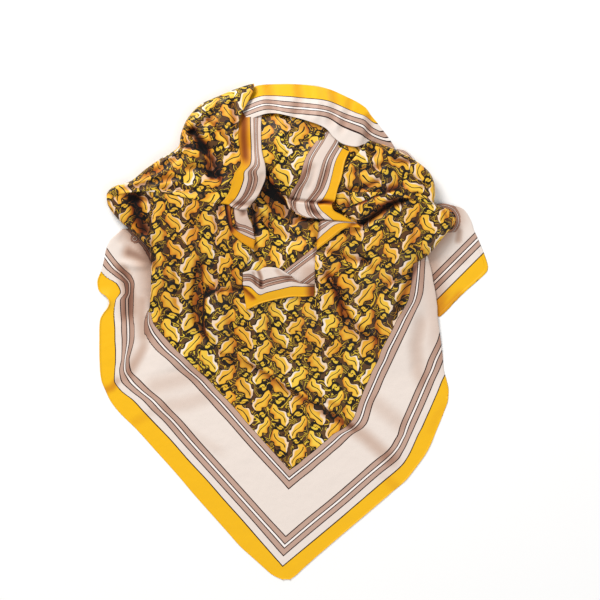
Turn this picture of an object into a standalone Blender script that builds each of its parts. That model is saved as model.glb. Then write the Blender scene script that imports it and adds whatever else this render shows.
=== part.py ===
# Silk square scarf, 900 mm on a side, dropped in a loose heap with one corner spread flat.
# Every stretch of cloth that shows is a wall of its own. The layers inside the heap share one
# rounded solid with a flat underside. The tables are in millimetres and the meshes in metres.
# +Z is up, the floor is z = 0, -Y points along the spread corner, and the origin is the middle
# of the footprint.

import math

import bmesh
import bpy

MM = 0.001

WALL = 1.6  # thickness of a cloth wall
LAYER = 3.0  # rise from one layer of cloth to the next one on it

PILE_HEIGHT = 34.0  # the heap at its highest, under the top layer
PILE_FRONT = -95.0  # y where the cloth starts to climb out of the flat corner
PILE_CREST = 160.0  # y where it has climbed the whole height
BACK_START, BACK_END, BACK_LOSS = 290.0, 375.0, 0.35  # the heap falls away at the back
SIDE_REACH, SIDE_LOSS = 280.0, 0.4  # and towards both sides

HOLLOW_AT = (-10.0, 165.0)  # middle of the hollow between the two shoulders
HOLLOW_SIZE = (45.0, 60.0)
HOLLOW_DEPTH = 18.0

FLAT_HEM = 30.0  # width of the hem band that lies on the floor
HEM_SLOPE = 90.0  # distance from the hem where the flat corner has reached the heap's height
ROLL = 14.0  # width of a folded edge's rounding
ROLL_STEPS = 2

CORE_CENTRE = (-20.0, 160.0)
CORE_LAYERS = 3  # folded layers that show in the edge of the hidden solid
CORE_GROOVE = 0.025  # how far the grooves between them go in, as a share of the radius
CORE_LAYER = -2.5  # its top, in layers from the pleats' own
CORE_LEAST = 4.0
CORE_CHAMFER = 2.0
CORE_SPOKES = 36
CORE_RINGS = (0.94, 0.8, 0.6, 0.4, 0.2)

# Each section of a stretch runs from edge a to edge b. Heights are of the cloth's upper side,
# and None leaves an edge at the heap's own height.
#        a_x   a_y   a_z    b_x   b_y   b_z
FRONT_CORNER = (
    (-16, -371, WALL, -4, -371, WALL),
    (-30, -364, WALL, 5, -364, WALL),
    (-44, -352, WALL, 19, -352, WALL),
    (-68, -331, WALL, 44, -331, WALL),
    (-104, -295, WALL, 86, -295, WALL),
    (-165, -223, WALL, 170, -223, WALL),
    (-198, -187, WALL, 196, -187, WALL),
    (-230, -151, WALL, 216, -151, WALL),
    (-262, -121, WALL, 227, -121, WALL),
    (-278, -97, WALL, 234, -97, WALL),
    (-285, -79, WALL, 232, -79, 1.8),
    (-290, -46, WALL, 225, -46, 2.2),
    (-290, -31, WALL, 223, -31, 2.4),
)

FRONT_PANEL = (
    (-203, -30, 5.3, 136, -30, None),
    (-217, -16, 5.0, 143, -16, None),
    (-223, 2, 4.6, 150, 2, None),
    (-220, 20, 4.8, 162, 20, None),
    (-214, 34, 5.2, 170, 34, None),
    (-212, 58, 6.0, 175, 58, None),
)

LEFT_BORDER = (
    (-290, -30, WALL, -204, -30, 5.0),
    (-290, -16, WALL, -219, -16, 3.2),
    (-289, 2, WALL, -219, 2, WALL),
    (-286, 20, WALL, -210, 20, WALL),
    (-278, 34, 5.0, -201, 34, WALL),
    (-274, 47, 9.0, -198, 47, WALL),
    (-284, 59, 5.0, -198, 59, WALL),
    (-292, 71, WALL, -198, 71, WALL),
    (-290, 86, 2.0, -200, 86, WALL),
    (-283, 104, 3.0, -201, 104, WALL),
    (-278, 122, 4.0, -202, 122, 2.0),
    (-270, 137, 4.5, -210, 137, 3.0),
    (-256, 151, 5.0, -224, 151, 4.0),
)

LEFT_PLEATS = (
    (-212, 60, 6.5, -72, 60, None),
    (-211, 77, 7.0, -75, 77, None),
    (-211, 92, 7.5, -76, 92, None),
    (-212, 110, 8.0, -67, 110, None),
    (-213, 125, 8.5, -60, 125, None),
    (-226, 137, 9.0, -63, 137, None),
    (-242, 152, 9.0, -69, 152, None),
    (-259, 167, 8.0, -75, 167, None),
    (-268, 181, 6.5, -81, 181, None),
    (-270, 189, 6.0, -86, 189, None),
)

RIGHT_BORDER = (
    (137, -30, 6.0, 223, -30, 2.4),
    (144, -16, 7.6, 221, -16, 2.8),
    (151, 2, 10.0, 220, 2, 4.0),
    (163, 20, 12.2, 220, 20, 5.2),
    (171, 34, 13.8, 218, 34, 6.0),
    (176, 47, 15.0, 218, 47, 6.4),
    (179, 65, 15.0, 214, 65, 6.6),
    (181, 83, 13.5, 212, 83, 6.8),
    (184, 99, 11.5, 208, 99, 6.8),
    (194, 109, 9.0, 206, 117, 6.8),
)

RIGHT_PLEATS = (
    (35, 60, None, 176, 60, 17.5),
    (34, 71, None, 177, 71, 18.0),
    (34, 83, None, 179, 83, 18.0),
    (34, 98, None, 183, 98, 16.5),
    (35, 107, None, 195, 107, 14.0),
    (36, 119, None, 207, 119, 12.0),
    (45, 134, None, 220, 134, 10.0),
    (50, 149, None, 232, 149, 9.5),
    (64, 164, None, 244, 164, 9.5),
    (75, 176, None, 240, 176, 9.5),
    (80, 185, None, 228, 185, 10.0),
)

RIGHT_CORNER = (
    (219, 188, 6.0, 231, 190, 6.0),
    (210, 179, 4.0, 256, 181, 5.0),
    (204, 167, 3.0, 266, 167, 4.0),
    (198, 152, 2.4, 273, 149, 3.0),
    (192, 136, WALL, 280, 133, 2.2),
    (192, 118, WALL, 288, 115, WALL),
    (192, 98, WALL, 292, 98, WALL),
    (192, 88, WALL, 286, 88, WALL),
    (192, 74, WALL, 270, 73, WALL),
    (200, 59, WALL, 256, 58, WALL),
    (201, 44, WALL, 243, 43, WALL),
    (202, 31, WALL, 230, 29, WALL),
    (204, 23, WALL, 222, 23, WALL),
)

LEFT_SHOULDER = (
    (-278, 200, 4.0, -266, 190, 7.0),
    (-276, 209, 3.0, -236, 190, None),
    (-264, 217, 3.0, -206, 190, None),
    (-240, 224, 3.0, -176, 190, None),
    (-216, 244, 3.0, -138, 190, None),
    (-194, 260, 3.0, -93, 191, None),
    (-171, 274, 3.0, -81, 212, None),
    (-166, 296, 3.0, -72, 242, None),
    (-156, 319, 3.0, -66, 272, None),
    (-136, 338, 3.0, -63, 302, None),
    (-108, 352, 3.0, -54, 317, None),
    (-78, 362, 3.0, -44, 326, None),
    (-56, 368, 3.0, -36, 332, None),
)

RIGHT_SHOULDER = (
    (80, 189, None, 213, 190, 11.0),
    (68, 200, None, 212, 200, 7.0),
    (66, 212, None, 212, 212, 4.0),
    (67, 227, None, 212, 227, 4.0),
    (69, 239, None, 207, 239, 4.0),
    (72, 248, None, 194, 248, 6.5),
    (75, 257, None, 178, 257, 8.0),
    (80, 269, None, 160, 269, 10.0),
    (84, 278, None, 144, 278, 13.0),
    (90, 287, None, 117, 287, 18.0),
    (95, 293, 19.0, 105, 293, 19.0),
)

BACK_BORDER = (
    (-51, 369, 2.6, -30, 331, 31.5),
    (-18, 372, 2.6, -6, 322, 31.5),
    (20, 371, 2.6, 24, 320, 31.5),
    (57, 364, 2.6, 54, 314, 27.0),
    (87, 350, 2.6, 75, 302, 20.0),
    (111, 334, 2.6, 90, 290, 12.0),
    (128, 315, 2.4, 105, 280, 6.0),
    (141, 296, 2.2, 123, 269, 4.0),
    (154, 275, 2.0, 147, 258, 3.0),
    (171, 269, 2.0, 165, 250, 3.0),
    (182, 260, 2.0, 174, 246, 3.0),
)

INNER_FOLD = (
    (-26, 311, None, 50, 311, None),
    (-45, 290, None, 48, 290, None),
    (-57, 266, None, 38, 266, None),
    (-63, 242, None, 30, 242, None),
    (-66, 212, None, 21, 212, None),
    (-78, 190, None, 16, 190, None),
    (-81, 175, None, 36, 175, None),
    (-78, 160, None, 50, 160, None),
    (-72, 137, None, 50, 137, None),
    (-81, 115, None, 50, 115, None),
    (-84, 92, None, 50, 92, None),
    (-78, 71, None, 45, 71, None),
)

LEFT_HEM_FOLD = (
    (-79, 318, None, -45, 312, None),
    (-79, 300, None, -45, 297, None),
    (-77, 278, None, -45, 276, None),
    (-76, 257, None, -42, 254, None),
    (-84, 235, None, -39, 230, None),
    (-92, 212, None, -46, 209, None),
    (-100, 197, None, -56, 197, None),
    (-106, 190, None, -69, 182, None),
)

LEFT_HEM_CURL = (
    (-96, 194, None, -66, 191, None),
    (-99, 185, None, -66, 184, None),
    (-98, 167, None, -64, 174, None),
    (-94, 148, None, -66, 168, None),
    (-78, 136, None, -63, 164, None),
    (-56, 127, None, -59, 163, None),
)

RIGHT_HEM_FOLD = (
    (16, 250, None, 76, 250, None),
    (12, 230, None, 74, 230, None),
    (2, 212, None, 68, 212, None),
    (-5, 202, None, 63, 194, None),
    (-4, 190, None, 58, 187, None),
    (4, 181, None, 66, 178, None),
    (21, 170, None, 88, 166, None),
)

RIGHT_HEM_CURL = (
    (38, 176, None, 37, 122, None),
    (51, 176, None, 57, 137, None),
    (69, 176, None, 80, 154, None),
    (90, 172, None, 105, 155, None),
)

CENTRE_HEM = (
    (-70, 91, None, -68, 64, None),
    (-60, 90, None, -63, 47, None),
    (-50, 88, None, -57, 37, None),
    (-38, 91, None, -39, 44, None),
    (-22, 94, None, -18, 50, None),
    (-9, 88, None, 0, 52, None),
    (12, 76, None, 16, 52, None),
    (32, 70, None, 32, 53, None),
)

CORE_OUTLINE = (
    (155, 60),
    (168, 120),
    (172, 180),
    (165, 215),
    (125, 245),
    (85, 288),
    (50, 318),
    (0, 330),
    (-75, 322),
    (-118, 300),
    (-132, 262),
    (-178, 230),
    (-222, 205),
    (-205, 168),
    (-185, 120),
    (-180, 60),
    (-150, 14),
    (-80, -4),
    (20, -8),
    (110, 14),
)

GOLD = (0.80, 0.50, 0.06)
AMBER = (0.85, 0.38, 0.02)
BLUSH = (0.84, 0.71, 0.64)
TAUPE = (0.50, 0.33, 0.26)
SILK_ROUGHNESS = 0.42


def smooth(t):
    t = min(1.0, max(0.0, t))
    return t * t * (3.0 - 2.0 * t)


def pile(x, y):
    """Height of the heap under its top layer."""
    rise = smooth((y - PILE_FRONT) / (PILE_CREST - PILE_FRONT))
    back = 1.0 - BACK_LOSS * smooth((y - BACK_START) / (BACK_END - BACK_START))
    side = 1.0 - SIDE_LOSS * smooth(abs(x) / SIDE_REACH)
    across = (x - HOLLOW_AT[0]) / HOLLOW_SIZE[0]
    along = (y - HOLLOW_AT[1]) / HOLLOW_SIZE[1]
    hollow = HOLLOW_DEPTH * math.exp(-across * across - along * along)
    return PILE_HEIGHT * rise * back * side - hollow


def layer_height(x, y, layer):
    """Upper side of a layer: 0 is the one that the pleats are in, 1 lies on it, -1 under it."""
    return WALL + pile(x, y) + layer * LAYER


def curve_through(rows, t):
    """Smooth curve through a table's rows at t, which counts rows. None stays None."""
    last = len(rows) - 1
    i = min(int(t), last - 1)
    f = t - i
    before, start, end, after = (rows[min(max(i + k, 0), last)] for k in (-1, 0, 1, 2))
    point = []
    for p0, p1, p2, p3 in zip(before, start, end, after):
        if None in (p0, p1, p2, p3):
            point.append(p1 if f < 0.5 or p2 is None else p2)
            continue
        m1 = 0.5 * (p2 - p0)
        m2 = 0.5 * (p3 - p1)
        f2 = f * f
        f3 = f2 * f
        point.append(
            (2 * f3 - 3 * f2 + 1) * p1
            + (f3 - 2 * f2 + f) * m1
            + (3 * f2 - 2 * f3) * p2
            + (f3 - f2) * m2
        )
    return point


def stations(width, roll, columns):
    """Distances from edge a across a section: close together in the rounded rims."""
    if roll <= 0:
        return [width * k / columns for k in range(columns + 1)]
    rim = [roll * (1 - math.cos(k * math.pi / 2 / ROLL_STEPS)) for k in range(ROLL_STEPS)]
    inner = width - 2 * roll
    middle = [roll + inner * k / columns for k in range(columns + 1)]
    return rim + middle + [width - d for d in rim[::-1]]


def edge_share(distance, rim, flat_hem):
    """How much of the heap's height a point has, at this distance from an edge."""
    if rim <= 0:
        return 1.0
    if flat_hem:
        return smooth((distance - FLAT_HEM) / (HEM_SLOPE - FLAT_HEM))
    t = 1 - min(1.0, distance / rim)
    return math.sqrt(max(0.0, 1 - t * t))


def section_points(section, columns, layer, roll, flat_hem):
    ax, ay, az, bx, by, bz = section
    width = math.hypot(bx - ax, by - ay)
    rim = min(roll, 0.4 * width)
    points = []
    for d in stations(width, rim, columns):
        s = d / width
        x = ax + (bx - ax) * s
        y = ay + (by - ay) * s
        if layer is None:
            z = az + (bz - az) * smooth(s)
        else:
            z = layer_height(x, y, layer)
            if az is not None:
                z = az + (z - az) * edge_share(d, rim, flat_hem)
            if bz is not None:
                z = bz + (z - bz) * edge_share(width - d, rim, flat_hem)
        points.append((x * MM, y * MM, max(WALL, z) * MM))
    return points


def new_collection(name):
    collection = bpy.data.collections.new(name)
    bpy.context.scene.collection.children.link(collection)
    return collection


def silk(name, colour):
    material = bpy.data.materials.new(name)
    material.use_nodes = True
    shader = material.node_tree.nodes["Principled BSDF"]
    shader.inputs["Base Color"].default_value = (*colour, 1.0)
    shader.inputs["Roughness"].default_value = SILK_ROUGHNESS
    shader.inputs["Metallic"].default_value = 0.0
    return material


def add_object(name, mesh, colour):
    mesh.materials.append(silk(name + "_silk", colour))
    mesh.shade_smooth()
    mesh.set_sharp_from_angle(angle=math.radians(50))
    obj = bpy.data.objects.new(name, mesh)
    scarf.objects.link(obj)
    return obj


def sheet(name, sections, steps, columns, colour, layer=None, roll=0.0, flat_hem=False):
    """A wall of cloth lofted through its sections, steps quads long and about columns wide."""
    bm = bmesh.new()
    rows = []
    for i in range(steps + 1):
        section = curve_through(sections, i * (len(sections) - 1) / steps)
        points = section_points(section, columns, layer, roll, flat_hem)
        rows.append([bm.verts.new(p) for p in points])
    for low, high in zip(rows, rows[1:]):
        for k in range(len(low) - 1):
            bm.faces.new((low[k], low[k + 1], high[k + 1], high[k]))
    bm.normal_update()
    if sum(face.normal.z for face in bm.faces) < 0:
        bmesh.ops.reverse_faces(bm, faces=bm.faces)
    mesh = bpy.data.meshes.new(name)
    bm.to_mesh(mesh)
    bm.free()
    obj = add_object(name, mesh, colour)
    wall = obj.modifiers.new("Wall", "SOLIDIFY")
    wall.thickness = WALL * MM
    wall.offset = -1.0
    return obj


def core_reach(angle):
    """How far out a spoke at this angle leaves the hidden solid."""
    cx, cy = CORE_CENTRE
    dx, dy = math.cos(angle), math.sin(angle)
    for (x1, y1), (x2, y2) in zip(CORE_OUTLINE, CORE_OUTLINE[1:] + CORE_OUTLINE[:1]):
        ex, ey = x2 - x1, y2 - y1
        across = dx * ey - dy * ex
        if abs(across) < 1e-9:
            continue
        reach = ((x1 - cx) * ey - (y1 - cy) * ex) / across
        share = ((x1 - cx) * dy - (y1 - cy) * dx) / across
        if reach > 0 and 0 <= share < 1:
            return reach
    raise ValueError("the outline is open")


def core_top(x, y):
    return max(CORE_LEAST, layer_height(x, y, CORE_LAYER))


def core_levels():
    """The hidden solid from the floor up: share of its reach, and share of its side's height."""
    levels = [(1 - CORE_GROOVE, 0.0)]
    for k in range(CORE_LAYERS):
        levels.append((1.0, (k + 0.5) / CORE_LAYERS))
        if k < CORE_LAYERS - 1:
            levels.append((1 - CORE_GROOVE, (k + 1) / CORE_LAYERS))
    return levels


def hidden_layers():
    """The folded cloth inside the heap: flat below, rounded above, layered at its edge."""
    cx, cy = CORE_CENTRE
    angles = [2 * math.pi * k / CORE_SPOKES for k in range(CORE_SPOKES)]
    raw = [core_reach(angle) for angle in angles]
    reach = [0.25 * before + 0.5 * here + 0.25 * after
             for before, here, after in zip(raw[-1:] + raw[:-1], raw, raw[1:] + raw[:1])]
    bm = bmesh.new()

    def ring(share, height):
        points = []
        for angle, radius in zip(angles, reach):
            x = cx + radius * share * math.cos(angle)
            y = cy + radius * share * math.sin(angle)
            z = core_top(x, y) if height is None else (core_top(x, y) - CORE_CHAMFER) * height
            points.append(bm.verts.new((x * MM, y * MM, z * MM)))
        return points

    rings = [ring(share, height) for share, height in core_levels()]
    rings += [ring(share, None) for share in CORE_RINGS]
    for low, high in zip(rings, rings[1:]):
        for k in range(CORE_SPOKES):
            n = (k + 1) % CORE_SPOKES
            bm.faces.new((low[k], low[n], high[n], high[k]))
    crown = bm.verts.new((cx * MM, cy * MM, core_top(cx, cy) * MM))
    for k in range(CORE_SPOKES):
        bm.faces.new((rings[-1][k], rings[-1][(k + 1) % CORE_SPOKES], crown))
    bm.faces.new(rings[0][::-1])
    mesh = bpy.data.meshes.new("hidden_layers")
    bm.to_mesh(mesh)
    bm.free()
    return add_object("hidden_layers", mesh, TAUPE)


for old in list(bpy.data.objects):
    bpy.data.objects.remove(old, do_unlink=True)

scarf = new_collection("silk_square_scarf")

hidden_layers()
sheet("front_corner", FRONT_CORNER, 20, 16, BLUSH, layer=0, roll=HEM_SLOPE, flat_hem=True)
sheet("front_panel", FRONT_PANEL, 7, 20, GOLD, layer=0, roll=ROLL)
sheet("left_border", LEFT_BORDER, 14, 5, BLUSH)
sheet("right_border", RIGHT_BORDER, 10, 4, BLUSH)
sheet("left_pleats", LEFT_PLEATS, 10, 9, GOLD, layer=0, roll=ROLL)
sheet("right_pleats", RIGHT_PLEATS, 10, 9, GOLD, layer=0, roll=ROLL)
sheet("right_corner", RIGHT_CORNER, 13, 5, BLUSH)
sheet("left_shoulder", LEFT_SHOULDER, 22, 5, GOLD, layer=0, roll=ROLL)
sheet("right_shoulder", RIGHT_SHOULDER, 10, 7, GOLD, layer=0, roll=ROLL)
sheet("back_border", BACK_BORDER, 18, 3, AMBER)
sheet("inner_fold", INNER_FOLD, 14, 8, GOLD, layer=-1)
sheet("left_hem_fold", LEFT_HEM_FOLD, 12, 4, AMBER, layer=2.1)
sheet("left_hem_curl", LEFT_HEM_CURL, 8, 4, BLUSH, layer=1)
sheet("right_hem_fold", RIGHT_HEM_FOLD, 10, 5, TAUPE, layer=2.1)
sheet("right_hem_curl", RIGHT_HEM_CURL, 6, 4, AMBER, layer=1)
sheet("centre_hem", CENTRE_HEM, 12, 4, AMBER, layer=1)
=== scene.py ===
# Silk square scarf, dropped in a loose heap with one corner spread flat.
# Sizes in the tables are in millimetres: x to the right, y away from the spread corner's tip.
import math

import bmesh
import bpy
import numpy as np
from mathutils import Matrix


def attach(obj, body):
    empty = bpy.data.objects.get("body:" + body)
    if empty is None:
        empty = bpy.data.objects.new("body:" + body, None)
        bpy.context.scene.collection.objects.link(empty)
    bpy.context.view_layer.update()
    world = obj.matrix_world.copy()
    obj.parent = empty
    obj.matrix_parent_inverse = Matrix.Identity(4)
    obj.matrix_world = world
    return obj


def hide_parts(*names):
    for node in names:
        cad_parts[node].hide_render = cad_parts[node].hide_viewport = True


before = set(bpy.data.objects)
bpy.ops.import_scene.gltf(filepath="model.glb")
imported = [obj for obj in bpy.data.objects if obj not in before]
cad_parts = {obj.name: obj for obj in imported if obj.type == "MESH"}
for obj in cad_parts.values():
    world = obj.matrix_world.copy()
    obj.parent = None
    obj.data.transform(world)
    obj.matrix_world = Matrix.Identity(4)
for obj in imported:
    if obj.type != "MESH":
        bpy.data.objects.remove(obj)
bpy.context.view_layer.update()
mm = 0.001

# straight above the middle of the frame; it sees as far as this many metres
camera = {"over": (12, 47.25), "height": 4800, "frame": 900, "sensor": 36, "seesTo": 50}


def addCamera():
    data = bpy.data.cameras.new("overheadCamera")
    data.sensor_width = camera["sensor"]
    data.lens = camera["sensor"] * camera["height"] / camera["frame"]
    data.clip_end = camera["seesTo"]
    piece = bpy.data.objects.new("overheadCamera", data)
    piece.location = (camera["over"][0] * mm, camera["over"][1] * mm, camera["height"] * mm)
    bpy.context.scene.collection.objects.link(piece)
    bpy.context.scene.camera = piece


def linear(code):
    # an sRGB hex colour as linear light
    parts = [int(code[k:k + 2], 16) / 255 for k in (1, 3, 5)]
    return [c / 12.92 if c <= 0.04045 else ((c + 0.055) / 1.055) ** 2.4 for c in parts] + [1]


def addNode(tree, kind, settings=None, inputs=None, stops=()):
    # an input that is a node or a socket is linked, anything else is its value; stops fill a colour ramp
    node = tree.nodes.new(kind)
    for name, value in (settings or {}).items():
        setattr(node, name, value)
    for name, value in (inputs or {}).items():
        if isinstance(value, bpy.types.Node):
            value = value.outputs[0]
        if isinstance(value, bpy.types.NodeSocket):
            tree.links.new(value, node.inputs[name])
        else:
            node.inputs[name].default_value = value
    for k, (position, colour) in enumerate(stops):
        stop = node.color_ramp.elements[k] if k < 2 else node.color_ramp.elements.new(position)
        stop.position = position
        stop.color = linear(colour)
    return node


def newMaterial(name):
    material = bpy.data.materials.new(name)
    material.use_nodes = True
    material.node_tree.nodes.clear()
    return material, material.node_tree


floorFinish = {"colour": "#FCFCFC", "roughness": 0.9, "gloss": 0.1, "size": 14.0}


def addFloor():
    material, tree = newMaterial("mattePaperBackdrop")  # matte paper: no gloss, an even pale ground
    shader = addNode(tree, "ShaderNodeBsdfPrincipled", inputs={
        "Base Color": linear(floorFinish["colour"]), "Roughness": floorFinish["roughness"],
        "Specular IOR Level": floorFinish["gloss"]})
    addNode(tree, "ShaderNodeOutputMaterial", inputs={"Surface": shader})
    bpy.ops.mesh.primitive_plane_add(size=floorFinish["size"])
    floor = bpy.context.object
    floor.name = "paleFloor"
    floor.data.materials.append(material)


studio = {
    "sky": ("#FFFFFF", 0.5),
    # name: place in metres, size, watts, colour
    "lamps": {
        "keySoftbox": ((-1.3, 2.2, 2), 1.3, 82, "#FFFDFA"),
        "fillSoftbox": ((1.8, -1.5, 2.8), 2.4, 30, "#FFFFFF"),
    },
}


def addLight():
    scene = bpy.context.scene
    scene.view_settings.view_transform = "Standard"
    world = bpy.data.worlds.new("studioSky")
    world.use_nodes = True
    scene.world = world
    sky = world.node_tree.nodes["Background"]
    sky.inputs["Color"].default_value = linear(studio["sky"][0])
    sky.inputs["Strength"].default_value = studio["sky"][1]
    for name, (place, size, watts, colour) in studio["lamps"].items():
        data = bpy.data.lights.new(name, "AREA")
        data.size, data.energy, data.color = size, watts, linear(colour)[:3]
        lamp = bpy.data.objects.new(name, data)
        lamp.location = place
        away = -lamp.location.normalized()
        lamp.rotation_euler = away.to_track_quat("-Z", "Y").to_euler()
        scene.collection.objects.link(lamp)


addCamera()
addFloor()
addLight()
print("stage: camera, floor and light")


silk = {
    "amber": "#F2B80F", "blush": "#E9DCD3", "taupe": "#C09F8E", "white": "#F8F0EB", "line": "#2B0F06",
    "gold": "#F4CB45", "deepGold": "#E3A42C", "orange": "#C97C1B", "cream": "#F8EADC",
    "ground": "#1C1207", "brown": "#5C4022", "thread": "#E2C33A", "bare": "#FFFFFF", "warm": "#EFC587",
    "roughness": 0.42, "foldRoughness": 0.85, "gloss": 0.26, "sheen": 0.06, "sheenRoughness": 0.4,
    # twill ribs are 0.3 mm apart; three are drawn as one so that they show
    "weave": 0.9, "weaveDepth": 0.05, "weaveShare": 0.25,
    "crumple": 26, "crumpleDepth": 4, "crumpleShare": 0.35,
    "tintShare": 0.7,  # how much of each leaf's own tint comes through
}
# Painted fold shade: how a fold deepens and dims the cloth's colour, by its share of shade.
paintedFoldShade = [(0.0, "#FFFFFF"), (0.35, "#DDCBC0"), (0.7, "#8E6A57"), (1.0, "#170E08")]
# The printed border: distance from the hem where each band starts, and its colour.
bands = [
    (0, "amber"), (25.8, "line"), (27.9, "blush"), (36.2, "line"),
    (37.9, "taupe"), (44.8, "line"), (46.5, "white"), (49.7, "line"),
    (51.4, "taupe"), (58.1, "line"), (59.8, "blush"), (108.3, "line"),
    (110, "taupe"), (116.9, "line"), (118.5, "white"), (121, "line"),
    (122.6, "taupe"), (129, "line"), (130.6, "line"),
]
bandSpan, placeSpan = 200, 100  # how many mm one unit of each UV map stands for
# The repeat: slanted lobed leaves in half-drop columns, every second one mirrored, with curls between.
leafPrint = {
    "fieldStart": 130.3, "column": 27, "repeat": 40, "slant": 0.38, "wobble": 9, "wobbleScale": 5,
    "halfLength": 18, "halfWidth": 10.2, "swing": 4.2, "bend": 2.6, "tips": 0.6, "outline": 1.9,
    "lobe": 0.2, "lobeTurns": 9, "lobeSlant": 0.14, "lobeMiddle": 0.85, "rib": 0.75, "ribLength": 0.55,
    "litSlant": 0.5, "litWidth": 0.4, "curl": 7.4, "curlCore": 5.8, "turnWidth": 6.2,
    "strokes": 7.5, "strokeBend": 0.9,
}


def silkTwill():
    # printed silk twill: fine diagonal ribs and a soft satin gloss, with the print sunk in the cloth
    material, tree = newMaterial("printedSilkTwill")
    size = leafPrint
    distances = addNode(tree, "ShaderNodeUVMap", {"uv_map": "hemDistance"})
    place = addNode(tree, "ShaderNodeUVMap", {"uv_map": "fieldPlace"})
    ownPlace = addNode(tree, "ShaderNodeTexCoord").outputs["Object"]
    wobble = addNode(tree, "ShaderNodeTexNoise", {"noise_dimensions": "2D"},
                     {"Vector": place, "Scale": size["wobbleScale"], "Detail": 0})
    drawn = addNode(tree, "ShaderNodeVectorMath", {"operation": "MULTIPLY_ADD"},
                    {0: wobble.outputs["Color"], 1: (size["wobble"] / placeSpan,) * 3, 2: place})
    made = {}
    pairs = ((distances, "hemLeft", "hemRight"), (drawn, "u", "v"), (ownPlace, "ownX", "ownY"))
    for vector, one, other in pairs:
        made[one], made[other], _ = addNode(tree, "ShaderNodeSeparateXYZ", inputs={0: vector}).outputs
    strokes = addNode(tree, "ShaderNodeTexNoise", {"noise_dimensions": "2D"}, {
        "Vector": place, "Scale": size["strokes"], "Detail": 0, "Distortion": size["strokeBend"]})
    made["strokes"] = strokes.outputs[0]
    # painted shade: each point's share of fold shade, set from the creases, darkens the colour below
    made["folds"] = addNode(tree, "ShaderNodeAttribute", {"attribute_name": "foldShade"}).outputs["Fac"]
    signs = {"*": "MULTIPLY", "*+": "MULTIPLY_ADD", "+": "ADD", "-": "SUBTRACT", "/": "DIVIDE",
             "<": "LESS_THAN", ">": "GREATER_THAN"}
    steps = [
        # name, sign or kind of sum, what goes into it
        ("hemNear", "MINIMUM", "hemLeft", "hemRight"),
        ("inField", ">", "hemNear", size["fieldStart"] / bandSpan),
        # which leaf this is, and the place in mm from its middle
        ("across", "*", "u", placeSpan / size["column"]),
        ("column", "FLOOR", "across"),
        ("odd", "PINGPONG", "column", 1),
        ("mirror", "*+", "odd", -2, 1),
        ("along", "*", "v", placeSpan / size["repeat"]),
        ("dropped", "*+", "odd", 0.5, "along"),
        ("row", "FLOOR", "dropped"),
        ("cellX", "-", "across", "column"),
        ("fromMiddleX", "-", "cellX", 0.5),
        ("mirrored", "*", "fromMiddleX", "mirror"),
        ("upX", "*", "mirrored", size["column"]),
        ("cellY", "-", "dropped", "row"),
        ("fromMiddleY", "-", "cellY", 0.5),
        ("upY", "*", "fromMiddleY", size["repeat"]),
        ("slantX", "*", "upY", -math.sin(size["slant"])),
        ("leafX", "*+", "upX", math.cos(size["slant"]), "slantX"),
        ("slantY", "*", "upX", math.sin(size["slant"])),
        ("leafY", "*+", "upY", math.cos(size["slant"]), "slantY"),
        # the leaf: its rib swings to both sides, and lobes run along its edge
        ("share", "/", "leafY", size["halfLength"]),
        ("bend", "*", "share", size["bend"]),
        ("bendSine", "SINE", "bend"),
        ("rib", "*", "bendSine", size["swing"]),
        ("offRib", "-", "leafX", "rib"),
        ("offSize", "ABSOLUTE", "offRib"),
        ("shareSquared", "*", "share", "share"),
        ("taper", "-", 1, "shareSquared"),
        ("taperUp", "MAXIMUM", "taper", 0),
        ("rounded", "POWER", "taperUp", size["tips"]),
        ("lobeSide", "*", "offRib", size["lobeSlant"]),
        ("lobeTurn", "*+", "share", size["lobeTurns"], "lobeSide"),
        ("lobeCosine", "COSINE", "lobeTurn"),
        ("lobes", "*+", "lobeCosine", size["lobe"], size["lobeMiddle"]),
        ("widthShare", "*", "rounded", "lobes"),
        ("width", "*+", "widthShare", size["halfWidth"], 0.01),
        ("edge", "-", "offSize", "width"),
        ("inLeaf", "<", "edge", 0),
        ("inOutline", "<", "edge", size["outline"]),
        ("side", "/", "offRib", "width"),
        ("litSide", "*+", "share", size["litSlant"], "side"),
        ("leafRamp", "*+", "litSide", size["litWidth"], 0.5),
        ("onRib", "<", "offSize", size["rib"]),
        ("midLeaf", "<", "shareSquared", size["ribLength"]),
        ("ribDrawn", "*", "onRib", "midLeaf"),
        # the rolled-up shoot between the tips of two leaves
        ("upSize", "ABSOLUTE", "upY"),
        ("curlY", "-", size["repeat"] / 2, "upSize"),
        ("upWay", "SIGN", "upY"),
        ("curlX", "*", "upX", "upWay"),
        ("curlXSquared", "*", "curlX", "curlX"),
        ("curlSquared", "*+", "curlY", "curlY", "curlXSquared"),
        ("curlOut", "SQRT", "curlSquared"),
        ("curlAngle", "ARCTAN2", "curlY", "curlX"),
        ("curlTurn", "*", "curlAngle", 0.5 / math.pi),
        ("curlWound", "*+", "curlOut", 1 / size["turnWidth"], "curlTurn"),
        ("curlArm", "FRACT", "curlWound"),
        ("inCurl", "<", "curlOut", size["curl"]),
        ("inCurlCore", "<", "curlOut", size["curlCore"]),
        # twill ribs
        ("diagonal", "+", "ownX", "ownY"),
        ("ribTurn", "*", "diagonal", 2 * math.pi / (silk["weave"] * mm)),
        ("ribs", "SINE", "ribTurn"),
        ("roughness", "*+", "folds", silk["foldRoughness"] - silk["roughness"], silk["roughness"]),
    ]
    for name, sign, *given in steps:
        given = {k: made.get(value, value) for k, value in enumerate(given)}
        made[name] = addNode(tree, "ShaderNodeMath", {"operation": signs.get(sign, sign)}, given)
    which = addNode(tree, "ShaderNodeCombineXYZ", inputs={0: made["column"], 1: made["row"]})
    chance = addNode(tree, "ShaderNodeTexWhiteNoise", {"noise_dimensions": "2D"}, {"Vector": which})
    made["chance"] = chance.outputs["Value"]

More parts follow.
